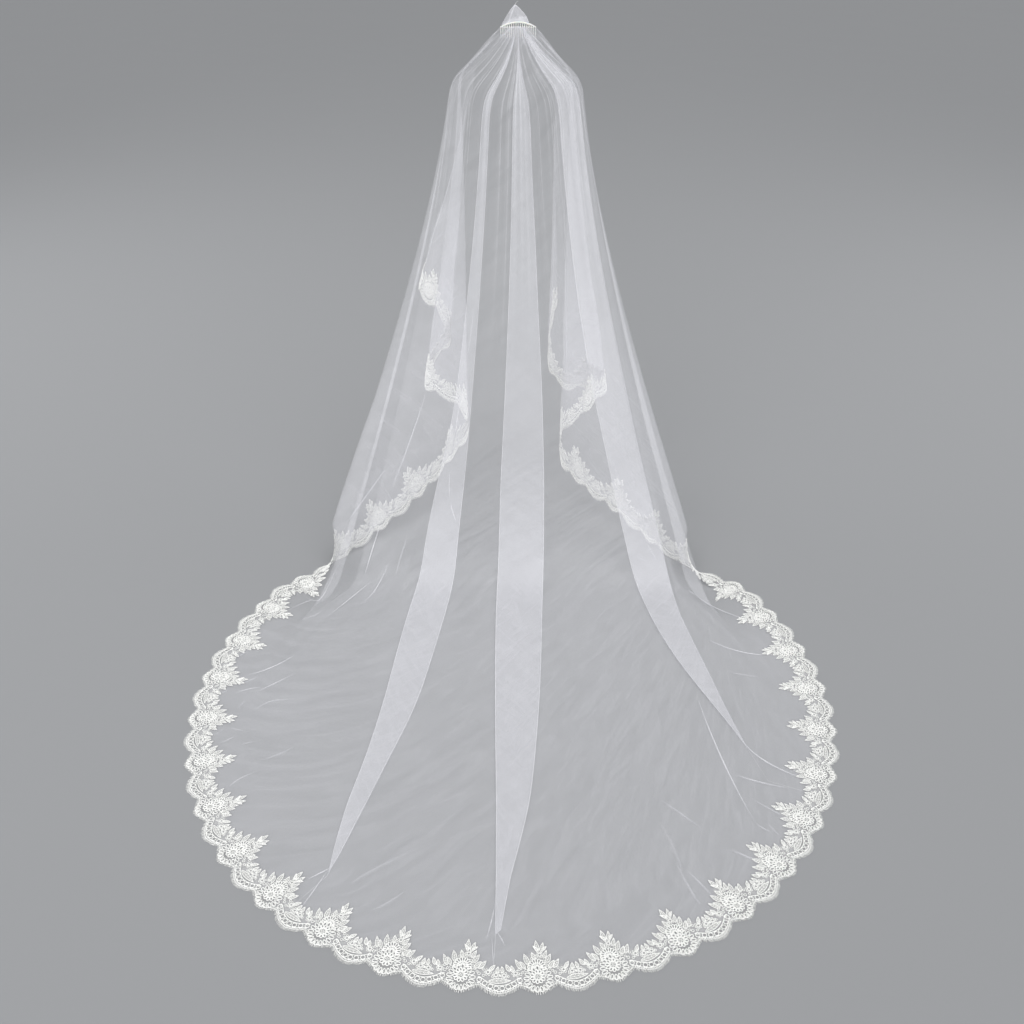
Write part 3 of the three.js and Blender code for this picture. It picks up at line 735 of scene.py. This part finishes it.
def spun_polyester(tree, look):
    """Spun polyester sewing thread, matt, with a fine twist."""
    where = add_node(tree, "TexCoord").outputs["Object"]
    twist = add_node(tree, "TexNoise", {"Vector": where, "Scale": 1 / (0.5 * MM)})
    bump = add_node(tree, "Bump", {"Height": twist, "Strength": 0.4, "Distance": 0.1 * MM})
    return add_node(tree, "BsdfPrincipled", {
        "Base Color": linear(look.lace_colour), "Roughness": 0.7, "Normal": bump,
    })


def painted_floor(tree, look):
    """Matt painted studio floor, plain, with a slight mottle in its gloss."""
    where = add_node(tree, "TexCoord").outputs["Object"]
    mottle = add_node(tree, "TexNoise", {"Vector": where, "Scale": 1 / (333 * MM)})
    rough = add_node(tree, "MapRange", {"Value": mottle, "To Min": 0.75, "To Max": 0.9})
    return add_node(tree, "BsdfPrincipled", {
        "Base Color": linear(look.floor_colour), "Roughness": rough, "Specular IOR Level": 0.2,
    })


# One repeat of the lace, drawn flat in millimetres: a runs along the hem from the rose, w runs
# inwards from the hem line and n stands up from the cloth

REPEAT = 167
ROSE_OFFSET = 104
LACE_INSET = 3 * MM
CORD_FLATNESS = 0.85
ROSE = (0.0, 18.0)
HEART = (-1.0, 23.0)
HALF_ROSE = (-1.0, 45.0)

# Outer edge: how far the notches lie from the rose, and w under the rose, at a notch and under
# the braid
NOTCH = 41
EDGE = {"rose": -12, "notch": 5, "braid": -14}

# Pointed leaves: foot a, w, then tip a, w, then half width
LEAVES = np.array([
    [4, 82, 2, 112, 5.6], [12, 80, 20, 106, 5.0], [6, 86, -6, 99, 3.0], [14, 86, 27, 95, 3.0],
    [-4, 66, -11, 83, 4.4], [16, 66, 26, 86, 4.2], [20, 54, 34, 76, 5.6], [-19, 52, -29, 80, 5.8],
    [-27, 44, -39, 62, 4.4], [-35, 42, -50, 67, 4.6], [26, 42, 40, 60, 5.4], [36, 42, 51, 62, 5.0],
    [60, 38, 72, 53, 4.2], [60, 14, 108, 16, 6.0], [77, 34, 79, 49, 3.8], [90, 34, 87, 50, 3.8],
    [105, 38, 96, 55, 4.2], [113, 36, 108, 52, 4.0],
])
# Ring flowers: centre a, w
RINGS = np.array([[8, 76], [57, 35], [-49, 33], [75, 29], [93, 28]])
# Curls that fill the ground: centre a, w and radius
CURLS = np.array([
    [27, 42, 3.2], [-26, 40, 3.2], [38, 31, 3.2], [-38, 31, 3.2], [42, 20, 3], [-43, 20, 3],
    [33, 36, 2.6], [-33, 36, 2.6], [66, 44, 2.6], [84, 37, 2.8], [68, 25, 2.6], [102, 26, 2.6],
    [46, 42, 2.8], [-41, 43, 2.8], [-1, 72, 2.8], [16, 60, 2.8], [-12, 68, 2.6], [-20, 47, 2.8],
    [22, 49, 2.8], [48, 27, 2.8], [-58, 41, 2.6], [84, 28, 2.4], [7, 90, 2.4],
])
# Inner outline of the net ground: a, then w
GROUND_EDGE = np.array([
    [0, 90], [9, 88], [16, 78], [24, 70], [30, 62], [38, 56], [46, 52], [54, 49], [62, 45], [72, 43],
    [83.5, 43],
])


def from_rose(a):
    """Distance along the hem from the nearest rose, for any repeat."""
    return abs((np.asarray(a, float) + REPEAT / 2) % REPEAT - REPEAT / 2)


def scallop(a):
    """Outer edge: a lobe under the rose by half a cosine, one under the braid by a quarter of a
    sine, and a notch between them."""
    a = from_rose(a)
    from_lobe = (1 - np.cos(np.pi * np.minimum(a, NOTCH) / NOTCH)) / 2
    to_lobe = np.sin(np.pi / 2 * np.clip((a - NOTCH) / (REPEAT / 2 - NOTCH), 0, 1))
    rose = EDGE["rose"] + (EDGE["notch"] - EDGE["rose"]) * from_lobe
    braid = EDGE["notch"] + (EDGE["braid"] - EDGE["notch"]) * to_lobe
    return np.where(a < NOTCH, rose, braid)


def ring_angles(count):
    """Even angles round a full turn."""
    return 2 * np.pi * np.arange(count) / count


def directions(angles):
    """(cos, sin) of each angle."""
    return np.stack([np.cos(angles), np.sin(angles)], -1)


def petal_loops(centre, angles, inner, outer, half_width, points=10):
    """Closed teardrop loops that stand round a centre: along the radius by (1 - cos t) / 2 and
    across it by sin t, widest past the middle."""
    turn = ring_angles(points)
    reach = (1 - np.cos(turn)) / 2
    along = inner + (outer - inner) * reach
    across = half_width * np.sin(turn) * (0.55 + 0.45 * reach)
    out = directions(angles)[:, None]
    side = out[..., ::-1] * [-1, 1]
    return np.asarray(centre, float) + out * along[None, :, None] + side * across[None, :, None]


def circles(centres, radii, points=8, phase=0.0):
    """Closed rings round centres, with one radius each."""
    ring = directions(ring_angles(points) + phase)
    radii = np.broadcast_to(radii, (len(centres),))[:, None, None]
    return np.asarray(centres, float)[:, None] + ring * radii


def leaf_frames(leaves):
    """Foot, axis and sideways unit of each leaf, and its half width."""
    foot, axis = leaves[:, :2], leaves[:, 2:4] - leaves[:, :2]
    side = unit(np.stack([-axis[:, 1], axis[:, 0]], -1))
    return foot[:, None], axis[:, None], side[:, None], leaves[:, 4][:, None, None]


def leaf_loops(leaves, points=14):
    """Closed outlines of pointed leaves: half width * sin(pi * share^0.8) on either side."""
    foot, axis, side, half = leaf_frames(leaves)
    turn = ring_angles(points)
    share = (1 - np.cos(turn)) / 2
    across = np.sign(np.sin(turn)) * np.sin(np.pi * share**0.8)
    return foot + axis * share[None, :, None] + side * half * across[None, :, None]


def path_steps(paths, closed=False):
    """Steps from each point's forerunner to its follower, round a closed path or along an open
    one."""
    if closed:
        return np.roll(paths, -1, 1) - np.roll(paths, 1, 1)
    return np.gradient(paths, axis=1)


def tube_mesh(rings, closed=False):
    """Points and quads of tubes from rings of points (count, length, sides, 3)."""
    index = np.arange(rings[..., 0].size).reshape(rings.shape[:3])
    here, ahead = (index, np.roll(index, -1, 1)) if closed else (index[:, :-1], index[:, 1:])
    quads = np.stack([here, np.roll(here, -1, 2), np.roll(ahead, -1, 2), ahead], -1)
    return rings.reshape(-1, 3), quads.reshape(-1, 4)


def cords(paths, radius, height, closed=True):
    """Four-sided cords along paths in the lace's plane, given as (count, points, 2)."""
    step = path_steps(paths, closed)
    side = unit(np.stack([-step[..., 1], step[..., 0]], -1))
    height = np.broadcast_to(np.asarray(height, float), paths.shape[:2])[..., None]
    centre = np.concatenate([paths, height], -1)
    across = np.concatenate([side, np.zeros_like(height)], -1) * radius
    up = np.array([0, 0, radius * CORD_FLATNESS])
    return tube_mesh(np.stack([centre + across, centre + up, centre - across, centre - up], 2), closed)


def leaf_fills(leaves, rows=8):
    """Domed cloth of each leaf, three points wide."""
    foot, axis, side, half = leaf_frames(leaves)
    share = np.linspace(0.02, 0.98, rows)
    width = np.sin(np.pi * share**0.8)
    across = np.array([-1, 0, 1])
    flat = (foot[:, None] + axis[:, None] * share[None, :, None, None]
            + side[:, None] * half[:, None] * (0.95 * width[:, None] * across)[None, ..., None])
    dome = np.broadcast_to(1.5 + 0.7 * width[:, None] * (1 - abs(across)), flat.shape[:-1])
    points = np.concatenate([flat, dome[..., None]], -1).reshape(-1, 3)
    faces = np.concatenate([grid_faces(rows, 3, k * rows * 3) for k in range(len(leaves))])
    return points, faces


def veins(leaves, pairs=4):
    """Short stitches from each leaf's middle out and forwards to its edge."""
    foot, axis, side, half = leaf_frames(leaves)
    share = np.linspace(0.15, 0.7, pairs)
    width = np.sin(np.pi * (share + 0.12) ** 0.8)
    start = foot + axis * share[None, :, None]
    lines = [np.stack([start, foot + axis * (share + 0.12)[None, :, None]
                       + side * half * (sign * 0.85 * width)[None, :, None]], 2) for sign in (-1, 1)]
    return np.concatenate(lines, 1).reshape(-1, 2, 2)


def join(parts):
    """One array of points and one of faces from several pairs."""
    sizes = np.cumsum([0] + [len(points) for points, _ in parts[:-1]])
    faces = np.concatenate([faces + start for (_, faces), start in zip(parts, sizes)])
    return np.concatenate([points for points, _ in parts]), faces


def rose_cords(cord):
    """The rose: outer petals, a closer ring of inner ones higher up, and the heart."""
    yield cords(petal_loops(ROSE, ring_angles(17) + 0.1, 18, 31.5, 4.3), cord * 1.8, 2.8)
    yield cords(petal_loops(HEART, ring_angles(11), 8, 17, 3.8, 8), cord * 1.9, 3.8)
    yield cords(circles([HEART], 7.2, 12), cord * 1.4, 3.6)
    yield cords(circles(HEART + 4 * directions(ring_angles(5)), 2.3, 7), cord, 2.4)


def half_rose_cords(cord):
    """The half rose above it, in two ranks of petals."""
    outer, inner = np.radians(np.linspace(-12, 192, 11)), np.radians(np.linspace(5, 175, 7))
    yield cords(petal_loops(HALF_ROSE, outer, 10, 21.5, 3.6, 9), cord * 1.8, 3.2)
    yield cords(petal_loops(HALF_ROSE, inner, 3, 10.5, 2.8, 8), cord * 1.4, 3.6)


def leaf_cords(cord):
    """Outlines, veins and midribs of the leaves."""
    foot, axis, _, _ = leaf_frames(LEAVES)
    yield cords(leaf_loops(LEAVES), cord * 1.3, 2.4)
    yield cords(veins(LEAVES), cord * 0.6, 2.6, closed=False)
    yield cords(foot + axis * np.linspace(0.05, 0.95, 4)[None, :, None], cord * 0.7, 2.9, closed=False)


def flower_cords(cord):
    """Ring flowers with six petals each, and the curls that fill the ground."""
    petals = RINGS[:, None] + 6.4 * directions(ring_angles(6))
    yield cords(circles(RINGS, 3.4, 9), cord * 1.4, 2.4)
    yield cords(circles(petals.reshape(-1, 2), 2.4, 6), cord * 1.2, 2.0)
    yield cords(circles(CURLS[:, :2], CURLS[:, 2], 7), cord * 1.2, 2.0)


def braid_cords(cord):
    """The braid: two cords and a ladder of rings between them, scalloped like the edge."""
    run = np.linspace(36, REPEAT - 36, 30)
    ladder = REPEAT / 2 + 12.4 * (np.arange(8) - 3.5)
    for inwards, thickness in ((4.8, 1.3), (18, 1.5)):
        path = np.stack([run, scallop(run) + inwards], -1)[None]
        yield cords(path, cord * thickness, 2.2, closed=False)
    rings = circles(np.stack([ladder, scallop(ladder) + 11.4], -1), 5.2, 8, np.pi / 8)
    yield cords(rings, cord * 1.6, 2.4)


def edge_cords(cord):
    """Radial stitches along the outer edge, the eyelash fringe outside them, and a rippled cord
    just inside it."""
    random = np.random.default_rng(4)
    stitch = np.linspace(0, REPEAT, 51)[:-1]
    lean = random.uniform(-0.7, 0.7, len(stitch))
    ends = [np.stack([stitch + lean * k, scallop(stitch) + w], -1) for k, w in ((0, 6), (1, -1))]
    yield cords(np.stack(ends, 1), cord * 1.15, 1.9, closed=False)
    lash = np.linspace(0, REPEAT, 72)[:-1]
    edge = scallop(lash)
    lean = random.uniform(-1.6, 1.6, len(lash))
    long = random.uniform(4, 8, len(lash))
    ends = [np.stack([lash, edge + 1.5], -1), np.stack([lash + lean, edge - long], -1)]
    yield cords(np.stack(ends, 1), 0.5, 1.2, closed=False)
    run = np.linspace(0, REPEAT, 56)
    ripple = 1.1 * np.cos(2 * np.pi * 24 * run / REPEAT)
    yield cords(np.stack([run, scallop(run) + 0.6 + ripple], -1)[None], cord * 0.8, 1.8, closed=False)


MOTIFS = (rose_cords, half_rose_cords, leaf_cords, flower_cords, braid_cords, edge_cords)


def ground_tile(rows=8, columns=41):
    """Net ground of one repeat, from just inside the scallops to the inner outline."""
    a = np.linspace(0, REPEAT, columns)
    outer = scallop(a) + 1.5
    inner = np.interp(from_rose(a), GROUND_EDGE[:, 0], GROUND_EDGE[:, 1])
    share = np.linspace(0, 1, rows)[:, None]
    w = outer + (inner - outer) * share
    points = np.stack([np.broadcast_to(a, w.shape), w, np.full_like(w, 1.2)], -1)
    return points.reshape(-1, 3), grid_faces(rows, columns)


def laid_on_border(tile):
    """Points of a repeat (a, w, n) at every rose along the hem, with UVs in metres."""
    rose = (CENTRE_BACK - ROSE_OFFSET * MM) % (REPEAT * MM)
    places = np.arange(rose - REPEAT * MM, LENGTH + REPEAT * MM, REPEAT * MM)
    s = places[:, None] + tile[:, 0] * MM
    w = np.broadcast_to(tile[:, 1] * MM, s.shape)
    inside = np.clip(s, 0, LENGTH)
    surface = border_point(inside, w)
    normal = unit(np.cross(-inward_direction(inside), along_hem(inside)))
    points = surface + normal * (tile[:, 2] * MM)[None, :, None]
    floor = SHEET_Z + np.maximum(tile[:, 2], 0.4) * MM
    points[..., 2] = np.maximum(points[..., 2], np.where(past_corner(inside) > 0, floor, SHEET_Z))
    return points, s, np.stack([s, w], -1)


def lace_pieces(cord, groups):
    """Points, faces, UVs and material numbers of the lace, in groups of whole repeats."""
    kinds = [join([made for motif in MOTIFS for made in motif(cord)]), ground_tile(), leaf_fills(LEAVES)]
    tile, faces = join(kinds)
    tile_slots = np.repeat([0, 1, 2], [len(part) for _, part in kinds])
    points, s, uv = laid_on_border(tile)
    count, size = s.shape
    faces = faces[None] + (np.arange(count) * size)[:, None, None]
    slots = np.broadcast_to(tile_slots, faces.shape[:2])
    at = s.ravel()[faces]
    kept = (at.min(-1) > LACE_INSET) & (at.max(-1) < LENGTH - LACE_INSET)
    uv = uv.reshape(-1, 2)
    points = points.reshape(-1, 3)
    for rows in np.array_split(np.arange(count), groups):
        some, which = faces[rows][kept[rows]], slots[rows][kept[rows]]
        used, again = np.unique(some, return_inverse=True)
        yield points[used], again.reshape(some.shape), uv[used], which


# Comb, gathering threads and peak

def swept_tube(paths, radii, sides):
    """Round tubes along paths (count, points, 3) with a radius (count, points, 2) to each side
    and up, framed by the path and the Y axis."""
    along = unit(path_steps(paths))
    side = unit(np.cross([0, 1.0, 0], along))
    depth = unit(np.cross(along, side))
    turn = ring_angles(sides)
    radii = np.broadcast_to(radii, (*paths.shape[:2], 2))
    ring = (side[:, :, None] * (radii[..., 0:1] * np.cos(turn))[..., None]
            + depth[:, :, None] * (radii[..., 1:2] * np.sin(turn))[..., None])
    return tube_mesh(paths[:, :, None] + ring)


def rounded_ends(points):
    """Shares of a rod, closer at its ends, and the root of 1 - share^6 that closes them both."""
    share = np.linspace(-1, 1, points)
    share = np.sign(share) * abs(share) ** 0.6
    return (share + 1) / 2, np.sqrt(np.clip(1 - abs(share) ** 6, 0.0, 1))


def tooth_places():
    """Middles of the comb's teeth."""
    pitch = (COMB["width"] - COMB["tooth_width"]) / (COMB["teeth"] - 1)
    first = COMB["middle_x"] - COMB["width"] / 2 + COMB["tooth_width"] / 2
    return first + pitch * np.arange(COMB["teeth"])


def comb_mesh():
    """Rounded spine along the parabola, and tapered teeth below it."""
    share, close = rounded_ends(33)
    x = COMB["middle_x"] + COMB["width"] * (share - 0.5)
    spine = np.stack([x, np.zeros_like(x), spine_top(x) - COMB["spine"] / 2], -1)[None]
    bevel = np.stack([close * COMB["spine"] / 2, close * COMB["thickness"] / 2], -1)[None]
    teeth_x = tooth_places()
    share = np.linspace(0, 1, 9)
    top = spine_top(teeth_x) - COMB["spine"] * 0.6
    z = top[:, None] + (COMB["tip_z"] - top)[:, None] * share
    tooth = np.stack([np.broadcast_to(teeth_x[:, None], z.shape), np.zeros_like(z), z], -1)
    taper = np.interp(share, [0, 0.7, 0.94, 1], [1, 0.85, 0.55, 0.02])
    size = np.stack([taper * COMB["tooth_width"] / 2, taper * COMB["thickness"] / 2 * 0.9], -1)[None]
    return join([swept_tube(spine, bevel, 12), swept_tube(tooth, size, 8)])


def wrap_threads():
    """Sewing thread in a helix round each tooth at the gather, a half-round stitch between
    each two, and the loose end at the tip of the peak."""
    teeth_x = tooth_places()[:, None, None]
    along_comb = np.array([1.0, 0, 0])
    turn = np.linspace(0, THREAD["turns"], 41)
    angle = 2 * np.pi * turn
    helix = np.stack([THREAD["half_width"] * np.cos(angle), THREAD["half_depth"] * np.sin(angle) + 0.4,
                      THREAD["rise"] * turn - 2.2], -1) * MM
    arc = np.linspace(0, np.pi, 9)
    loop = np.stack([THREAD["stitch"] * np.cos(arc), np.full_like(arc, 3.4),
                     -THREAD["dip"] * (1 + np.sin(arc))], -1) * MM
    share = np.linspace(0, 1, 9)
    loose = np.stack([3 - 9 * share**1.5, 1.2 * np.sin(5 * share), 57 + 9 * share], -1)[None] * MM
    coils = helix + along_comb * teeth_x
    stitches = loop + along_comb * (teeth_x[1:] + teeth_x[:-1]) / 2
    radii = np.full(2, THREAD["radius"] * MM)
    return join([swept_tube(paths, radii, 5) for paths in (coils, stitches, loose)])


# Top edge of the peak: x along the comb, then height above the spine, in millimetres
PEAK = np.array([
    [40, 3], [30, 16], [23, 24], [16, 32], [9, 39], [3, 45], [-3, 41], [-10, 35], [-16, 28], [-22, 24],
    [-31, 14], [-36, 3],
]) * MM
# Its cloth: how far each layer stands from the middle, then height and number of waves and gathers
PEAK_GAP = 1.5 * MM
PEAK_WAVES = {"height": 2.2 * MM, "count": 2.5}
PEAK_GATHERS = {"height": 0.8 * MM, "count": 17}


def peak_sheet(columns=72, rows=22):
    """Cloth folded over its top edge: up behind, over and down in front. Each layer waves
    across the comb, more towards the top, and is gathered finely at the spine. Returns the
    points and how much denser the net is where it lies double, folds or turns over."""
    across = np.linspace(0, 1, columns)[None]
    over = np.linspace(-1, 1, rows)[:, None]
    x, height = (np.interp(across, np.linspace(0, 1, len(PEAK)), column) for column in PEAK.T)
    up = 1 - abs(over) ** 1.6
    z = spine_top(x) + 0.3 * MM + height * up
    gap = PEAK_GAP * np.sign(over) * np.sqrt(abs(over)) * (0.4 + 0.6 * np.sin(np.pi * across))
    waves = PEAK_WAVES["height"] * np.sin(2 * np.pi * PEAK_WAVES["count"] * across) * up
    gathers = np.sin(2 * np.pi * PEAK_GATHERS["count"] * across + 1.5 * over) * (1 - 0.5 * up)
    y = gap + waves + PEAK_GATHERS["height"] * gathers
    points = np.stack(np.broadcast_arrays(x, y, z), -1)
    above = z - spine_top(x)
    second_layer = smooth((10 * MM - 0.2 * x - above) / (1.5 * MM))
    fold_line = np.exp(-((x - 3 * MM - 0.42 * (45 * MM - above)) / (1.6 * MM)) ** 2)
    hem_line = smooth((up - 0.93) / 0.05)
    return points, 0.16 * second_layer + 0.2 * fold_line + 0.3 * hem_line


def sheet_uv(points):
    """Lengths in metres across and down a grid, from its first column and row."""
    across = np.linalg.norm(np.diff(points, axis=1), axis=-1)
    down = np.linalg.norm(np.diff(points, axis=0), axis=-1)
    u = np.concatenate([np.zeros((points.shape[0], 1)), np.cumsum(across, 1)], 1)
    v = np.concatenate([np.zeros((1, points.shape[1])), np.cumsum(down, 0)], 0)
    return np.stack([u, v], -1).reshape(-1, 2)


def crease_strips():
    """Narrow pinched folds with one section along each crease, thinning out at both ends.
    Each follows the parabola through its three places. Returns points, faces and strength."""
    steps = np.linspace(0, 1, 25)[:, None]
    across, rise, shown = CREASE_SECTION.T
    places = CREASES[:, :6].reshape(-1, 3, 2)
    s, down = CENTRE_BACK - places[..., 0] * MM, places[..., 1]
    ways = ((1 - steps) * (1 - 2 * steps), 4 * steps * (1 - steps), steps * (2 * steps - 1))

    def through(values):
        return sum(way * values[:, None, k] for k, way in enumerate(ways))

    centre = through(drape(s, down))
    normal = unit(through(drape_normal(s, down)))
    side = unit(np.cross(unit(np.gradient(centre, axis=1)), normal))
    thin = np.sin(np.pi * np.linspace(0.02, 0.98, len(steps))) ** 0.6
    half = CREASES[:, 6][:, None] * MM * thin
    lift = through(np.where(down < LYING, CREASE_LIFT["hanging"], CREASE_LIFT["lying"])[..., None])
    grid = (centre + normal * lift)[:, :, None]
    grid = grid + side[:, :, None] * (half[..., None] * across)[..., None]
    grid = grid + normal[:, :, None] * (CREASE_RISE * thin[:, None] * rise)[None, ..., None]
    grid[..., 2] = np.maximum(grid[..., 2], SHEET_Z + 0.5 * MM)
    strength = CREASES[:, 7][:, None, None] * thin[:, None] * shown
    count, *size = grid.shape[:3]
    faces = np.concatenate([grid_faces(*size, k * size[0] * size[1]) for k in range(count)])
    return grid.reshape(-1, 3), faces, strength.ravel()


# Settings

def colour(name, description, default):
    """A colour setting in sRGB, with a hex default."""
    return FloatVectorProperty(name=name, description=f"{description}, sRGB", default=srgb(default),
                               size=3, subtype="COLOR_GAMMA", min=0, max=1)


def amount(name, description, default, low=0.0, high=1000.0, **more):
    """A number setting between two limits."""
    return FloatProperty(name=name, description=description, default=default, min=low, max=high, **more)


class VeilLook(bpy.types.PropertyGroup):
    """Cloth cover, colours and cord of the veil, and the colour of its floor."""
    tulle_cover: amount("Tulle cover", "Share of the view that one layer of net covers",
                        0.19, 0.02, 0.9, subtype="FACTOR")
    fold_cover: amount("Fold cover", "Cover of the net along a pleat's fold",
                       0.5, 0.02, 1.0, subtype="FACTOR")
    tulle_colour: colour("Tulle colour", "Nylon net", "#f7f7fc")
    lace_colour: colour("Cord colour", "Viscose cord of the lace", "#fcfcfa")
    lace_shade: colour("Ground colour", "Cotton net and the cord's darker strands", "#f5f5f2")
    comb_colour: colour("Comb colour", "Ivory acetate", "#ebe9e2")
    floor_colour: colour("Floor colour", "Studio floor", "#939496")
    cord_radius: amount("Cord radius", "Half the thickness of the lace's cord",
                        0.68 * MM, 0.3 * MM, 2 * MM, unit="LENGTH")
    lace_groups: IntProperty(
        name="Lace lengths", description="Number of objects that the lace is joined into",
        default=4, min=1, max=6)


class StageSetup(bpy.types.PropertyGroup):
    """Camera and lights."""
    camera_at: FloatVectorProperty(
        name="Camera", description="Where the camera stands", default=(0.0, 3.5, 0.655), size=3,
        subtype="TRANSLATION", unit="LENGTH")
    pitch: amount("Pitch", "How far the camera looks down", math.radians(33.2),
                  high=math.pi / 2, subtype="ANGLE", unit="ROTATION")
    lens: amount("Lens", "Focal length", 41.03, 10, 200, unit="CAMERA")
    key_power: amount("Key power", "Power of the large soft light", 75.0, unit="POWER")
    fill_power: amount("Fill power", "Power of each of the two side lights", 40.0, unit="POWER")
    overall_power: amount("Overall power", "Strength of the broad light that evens the floor", 1.6)
    front_power: amount("Front power", "Strength of the low light on the hanging cloth", 1.35)
    world_level: amount("Surround", "Brightness of the plain surround", 0.42)


# Operators, one for each piece

class VEIL_OT_tulle(bpy.types.Operator):
    """Drape the tulle sheet with its pleats, gathers and side cascades"""
    bl_idname = "veil.tulle"
    bl_label = "Tulle sheet"

    def execute(self, context):
        look = context.scene.veil_look
        points, s, fold, density = tulle_sheet()
        cover = np.minimum(look.tulle_cover * density, MOST_COVER)
        cover = cover + (look.fold_cover - look.tulle_cover) * fold
        veil = new_mesh("tulle_veil_cloth", points.reshape(-1, 3), grid_faces(*s.shape), [nylon_tulle],
                        uv=sheet_uv(points), values={"cover": cover})
        put(veil, "tulle", "tulle_veil")
        return {"FINISHED"}


class VEIL_OT_creases(bpy.types.Operator):
    """Add the thin pinched creases of the single sheet"""
    bl_idname = "veil.creases"
    bl_label = "Creases"

    def execute(self, context):
        points, faces, strength = crease_strips()
        cover = 1.2 * strength * context.scene.veil_look.fold_cover
        creases = new_mesh("tulle_creases", points, faces, [nylon_tulle], uv=points[:, :2],
                           values={"cover": cover})
        put(creases, "tulle")
        return {"FINISHED"}


class VEIL_OT_lace(bpy.types.Operator):
    """Lay the corded lace edging along the whole border"""
    bl_idname = "veil.lace"
    bl_label = "Lace edging"

    def execute(self, context):
        look = context.scene.veil_look
        made = []
        for points, faces, uv, slots in lace_pieces(look.cord_radius / MM, look.lace_groups):
            length = new_mesh(f"lace_edging_{len(made) + 1}", points, faces,
                              [viscose_cord, cotton_net_ground, cotton_linen_stitch], uv=uv, slots=slots)
            put(length, "lace")
            made.append(length)
        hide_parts("lace_edging")
        return {"FINISHED"}


class VEIL_OT_peak(bpy.types.Operator):
    """Fold the standing peak of tulle above the comb"""
    bl_idname = "veil.peak"
    bl_label = "Standing peak"

    def execute(self, context):
        points, extra = peak_sheet()
        cover = context.scene.veil_look.tulle_cover * 1.2 + extra
        peak = new_mesh("standing_peak_cloth", points.reshape(-1, 3), grid_faces(*points.shape[:2]),
                        [nylon_tulle], uv=sheet_uv(points), values={"cover": cover})
        put(peak, "tulle", "standing_peak")
        return {"FINISHED"}


class VEIL_OT_comb(bpy.types.Operator):
    """Mould the comb and wind the sewing thread round its teeth"""
    bl_idname = "veil.comb"
    bl_label = "Comb and thread"

    def execute(self, context):
        put(new_mesh("comb_moulding", *comb_mesh(), [moulded_acetate]), "comb", "comb")
        put(new_mesh("gathering_thread", *wrap_threads(), [spun_polyester]), "lace")
        return {"FINISHED"}


def direction_euler(way):
    """Turn that points an object's -Z along way."""
    x, y, z = way / np.linalg.norm(way)
    return (math.acos(-z), 0.0, math.atan2(x, -y) + math.pi)


def stand(name, data, place, turn):
    """An object for a light or the camera, placed and turned."""
    made = bpy.data.objects.new(name, data)
    made.location = place
    made.rotation_euler = turn
    bpy.context.scene.collection.objects.link(made)
    return made


class VEIL_OT_stage(bpy.types.Operator):
    """Lay the plain floor and set the soft lights and the camera"""
    bl_idname = "veil.stage"
    bl_label = "Stage"

    def execute(self, context):
        scene, setup = context.scene, context.scene.veil_stage
        corners = np.array([[-1, -1, 0], [1, -1, 0], [1, 1, 0], [-1, 1, 0]]) * FLOOR_HALF
        floor = new_mesh("stage_floor", corners + [0, 0, FLOOR_Z], np.array([[0, 1, 2, 3]]), [painted_floor])
        for name, (kind, place, aim, size, power) in LIGHTS.items():
            light = bpy.data.lights.new(name, kind)
            if kind == "SUN":
                light.angle = math.radians(size)
            else:
                light.size = size
            light.energy = getattr(setup, power)
            stand(name, light, place, direction_euler(np.subtract(aim, place)))
        camera = bpy.data.cameras.new("camera")
        camera.lens = setup.lens
        camera.sensor_width = 36
        camera.shift_x = CAMERA_SHIFT
        scene.camera = stand("camera", camera, setup.camera_at, (math.pi / 2 - setup.pitch, 0, math.pi))
        scene.world = bpy.data.worlds.new("plain_surround")
        scene.world.use_nodes = True
        surround = scene.world.node_tree.nodes["Background"]
        surround.inputs["Color"].default_value = linear(srgb(SURROUND))
        surround.inputs["Strength"].default_value = setup.world_level
        scene.view_settings.view_transform = "Standard"
        return {"FINISHED"}


OPERATORS = (VEIL_OT_tulle, VEIL_OT_creases, VEIL_OT_lace, VEIL_OT_peak, VEIL_OT_comb, VEIL_OT_stage)


class VEIL_PT_panel(bpy.types.Panel):
    """Buttons for the pieces, and the settings above"""
    bl_idname = "VEIL_PT_panel"
    bl_label = "Cathedral veil"
    bl_space_type = "VIEW_3D"
    bl_region_type = "UI"
    bl_category = "Veil"

    def draw(self, context):
        for made in OPERATORS:
            self.layout.operator(made.bl_idname)
        for settings in (context.scene.veil_look, context.scene.veil_stage):
            for name in settings.__annotations__:
                self.layout.prop(settings, name)


CLASSES = (VeilLook, StageSetup, *OPERATORS, VEIL_PT_panel)


def register():
    for each in CLASSES:
        bpy.utils.register_class(each)
    bpy.types.Scene.veil_look = PointerProperty(type=VeilLook)
    bpy.types.Scene.veil_stage = PointerProperty(type=StageSetup)


def unregister():
    del bpy.types.Scene.veil_stage
    del bpy.types.Scene.veil_look
    for each in reversed(CLASSES):
        bpy.utils.unregister_class(each)


def main():
    register()
    for step in (bpy.ops.veil.tulle, bpy.ops.veil.creases, bpy.ops.veil.lace, bpy.ops.veil.peak,
                 bpy.ops.veil.comb, bpy.ops.veil.stage):
        step()
    bpy.context.view_layer.update()


if __name__ == "__main__":
    main()
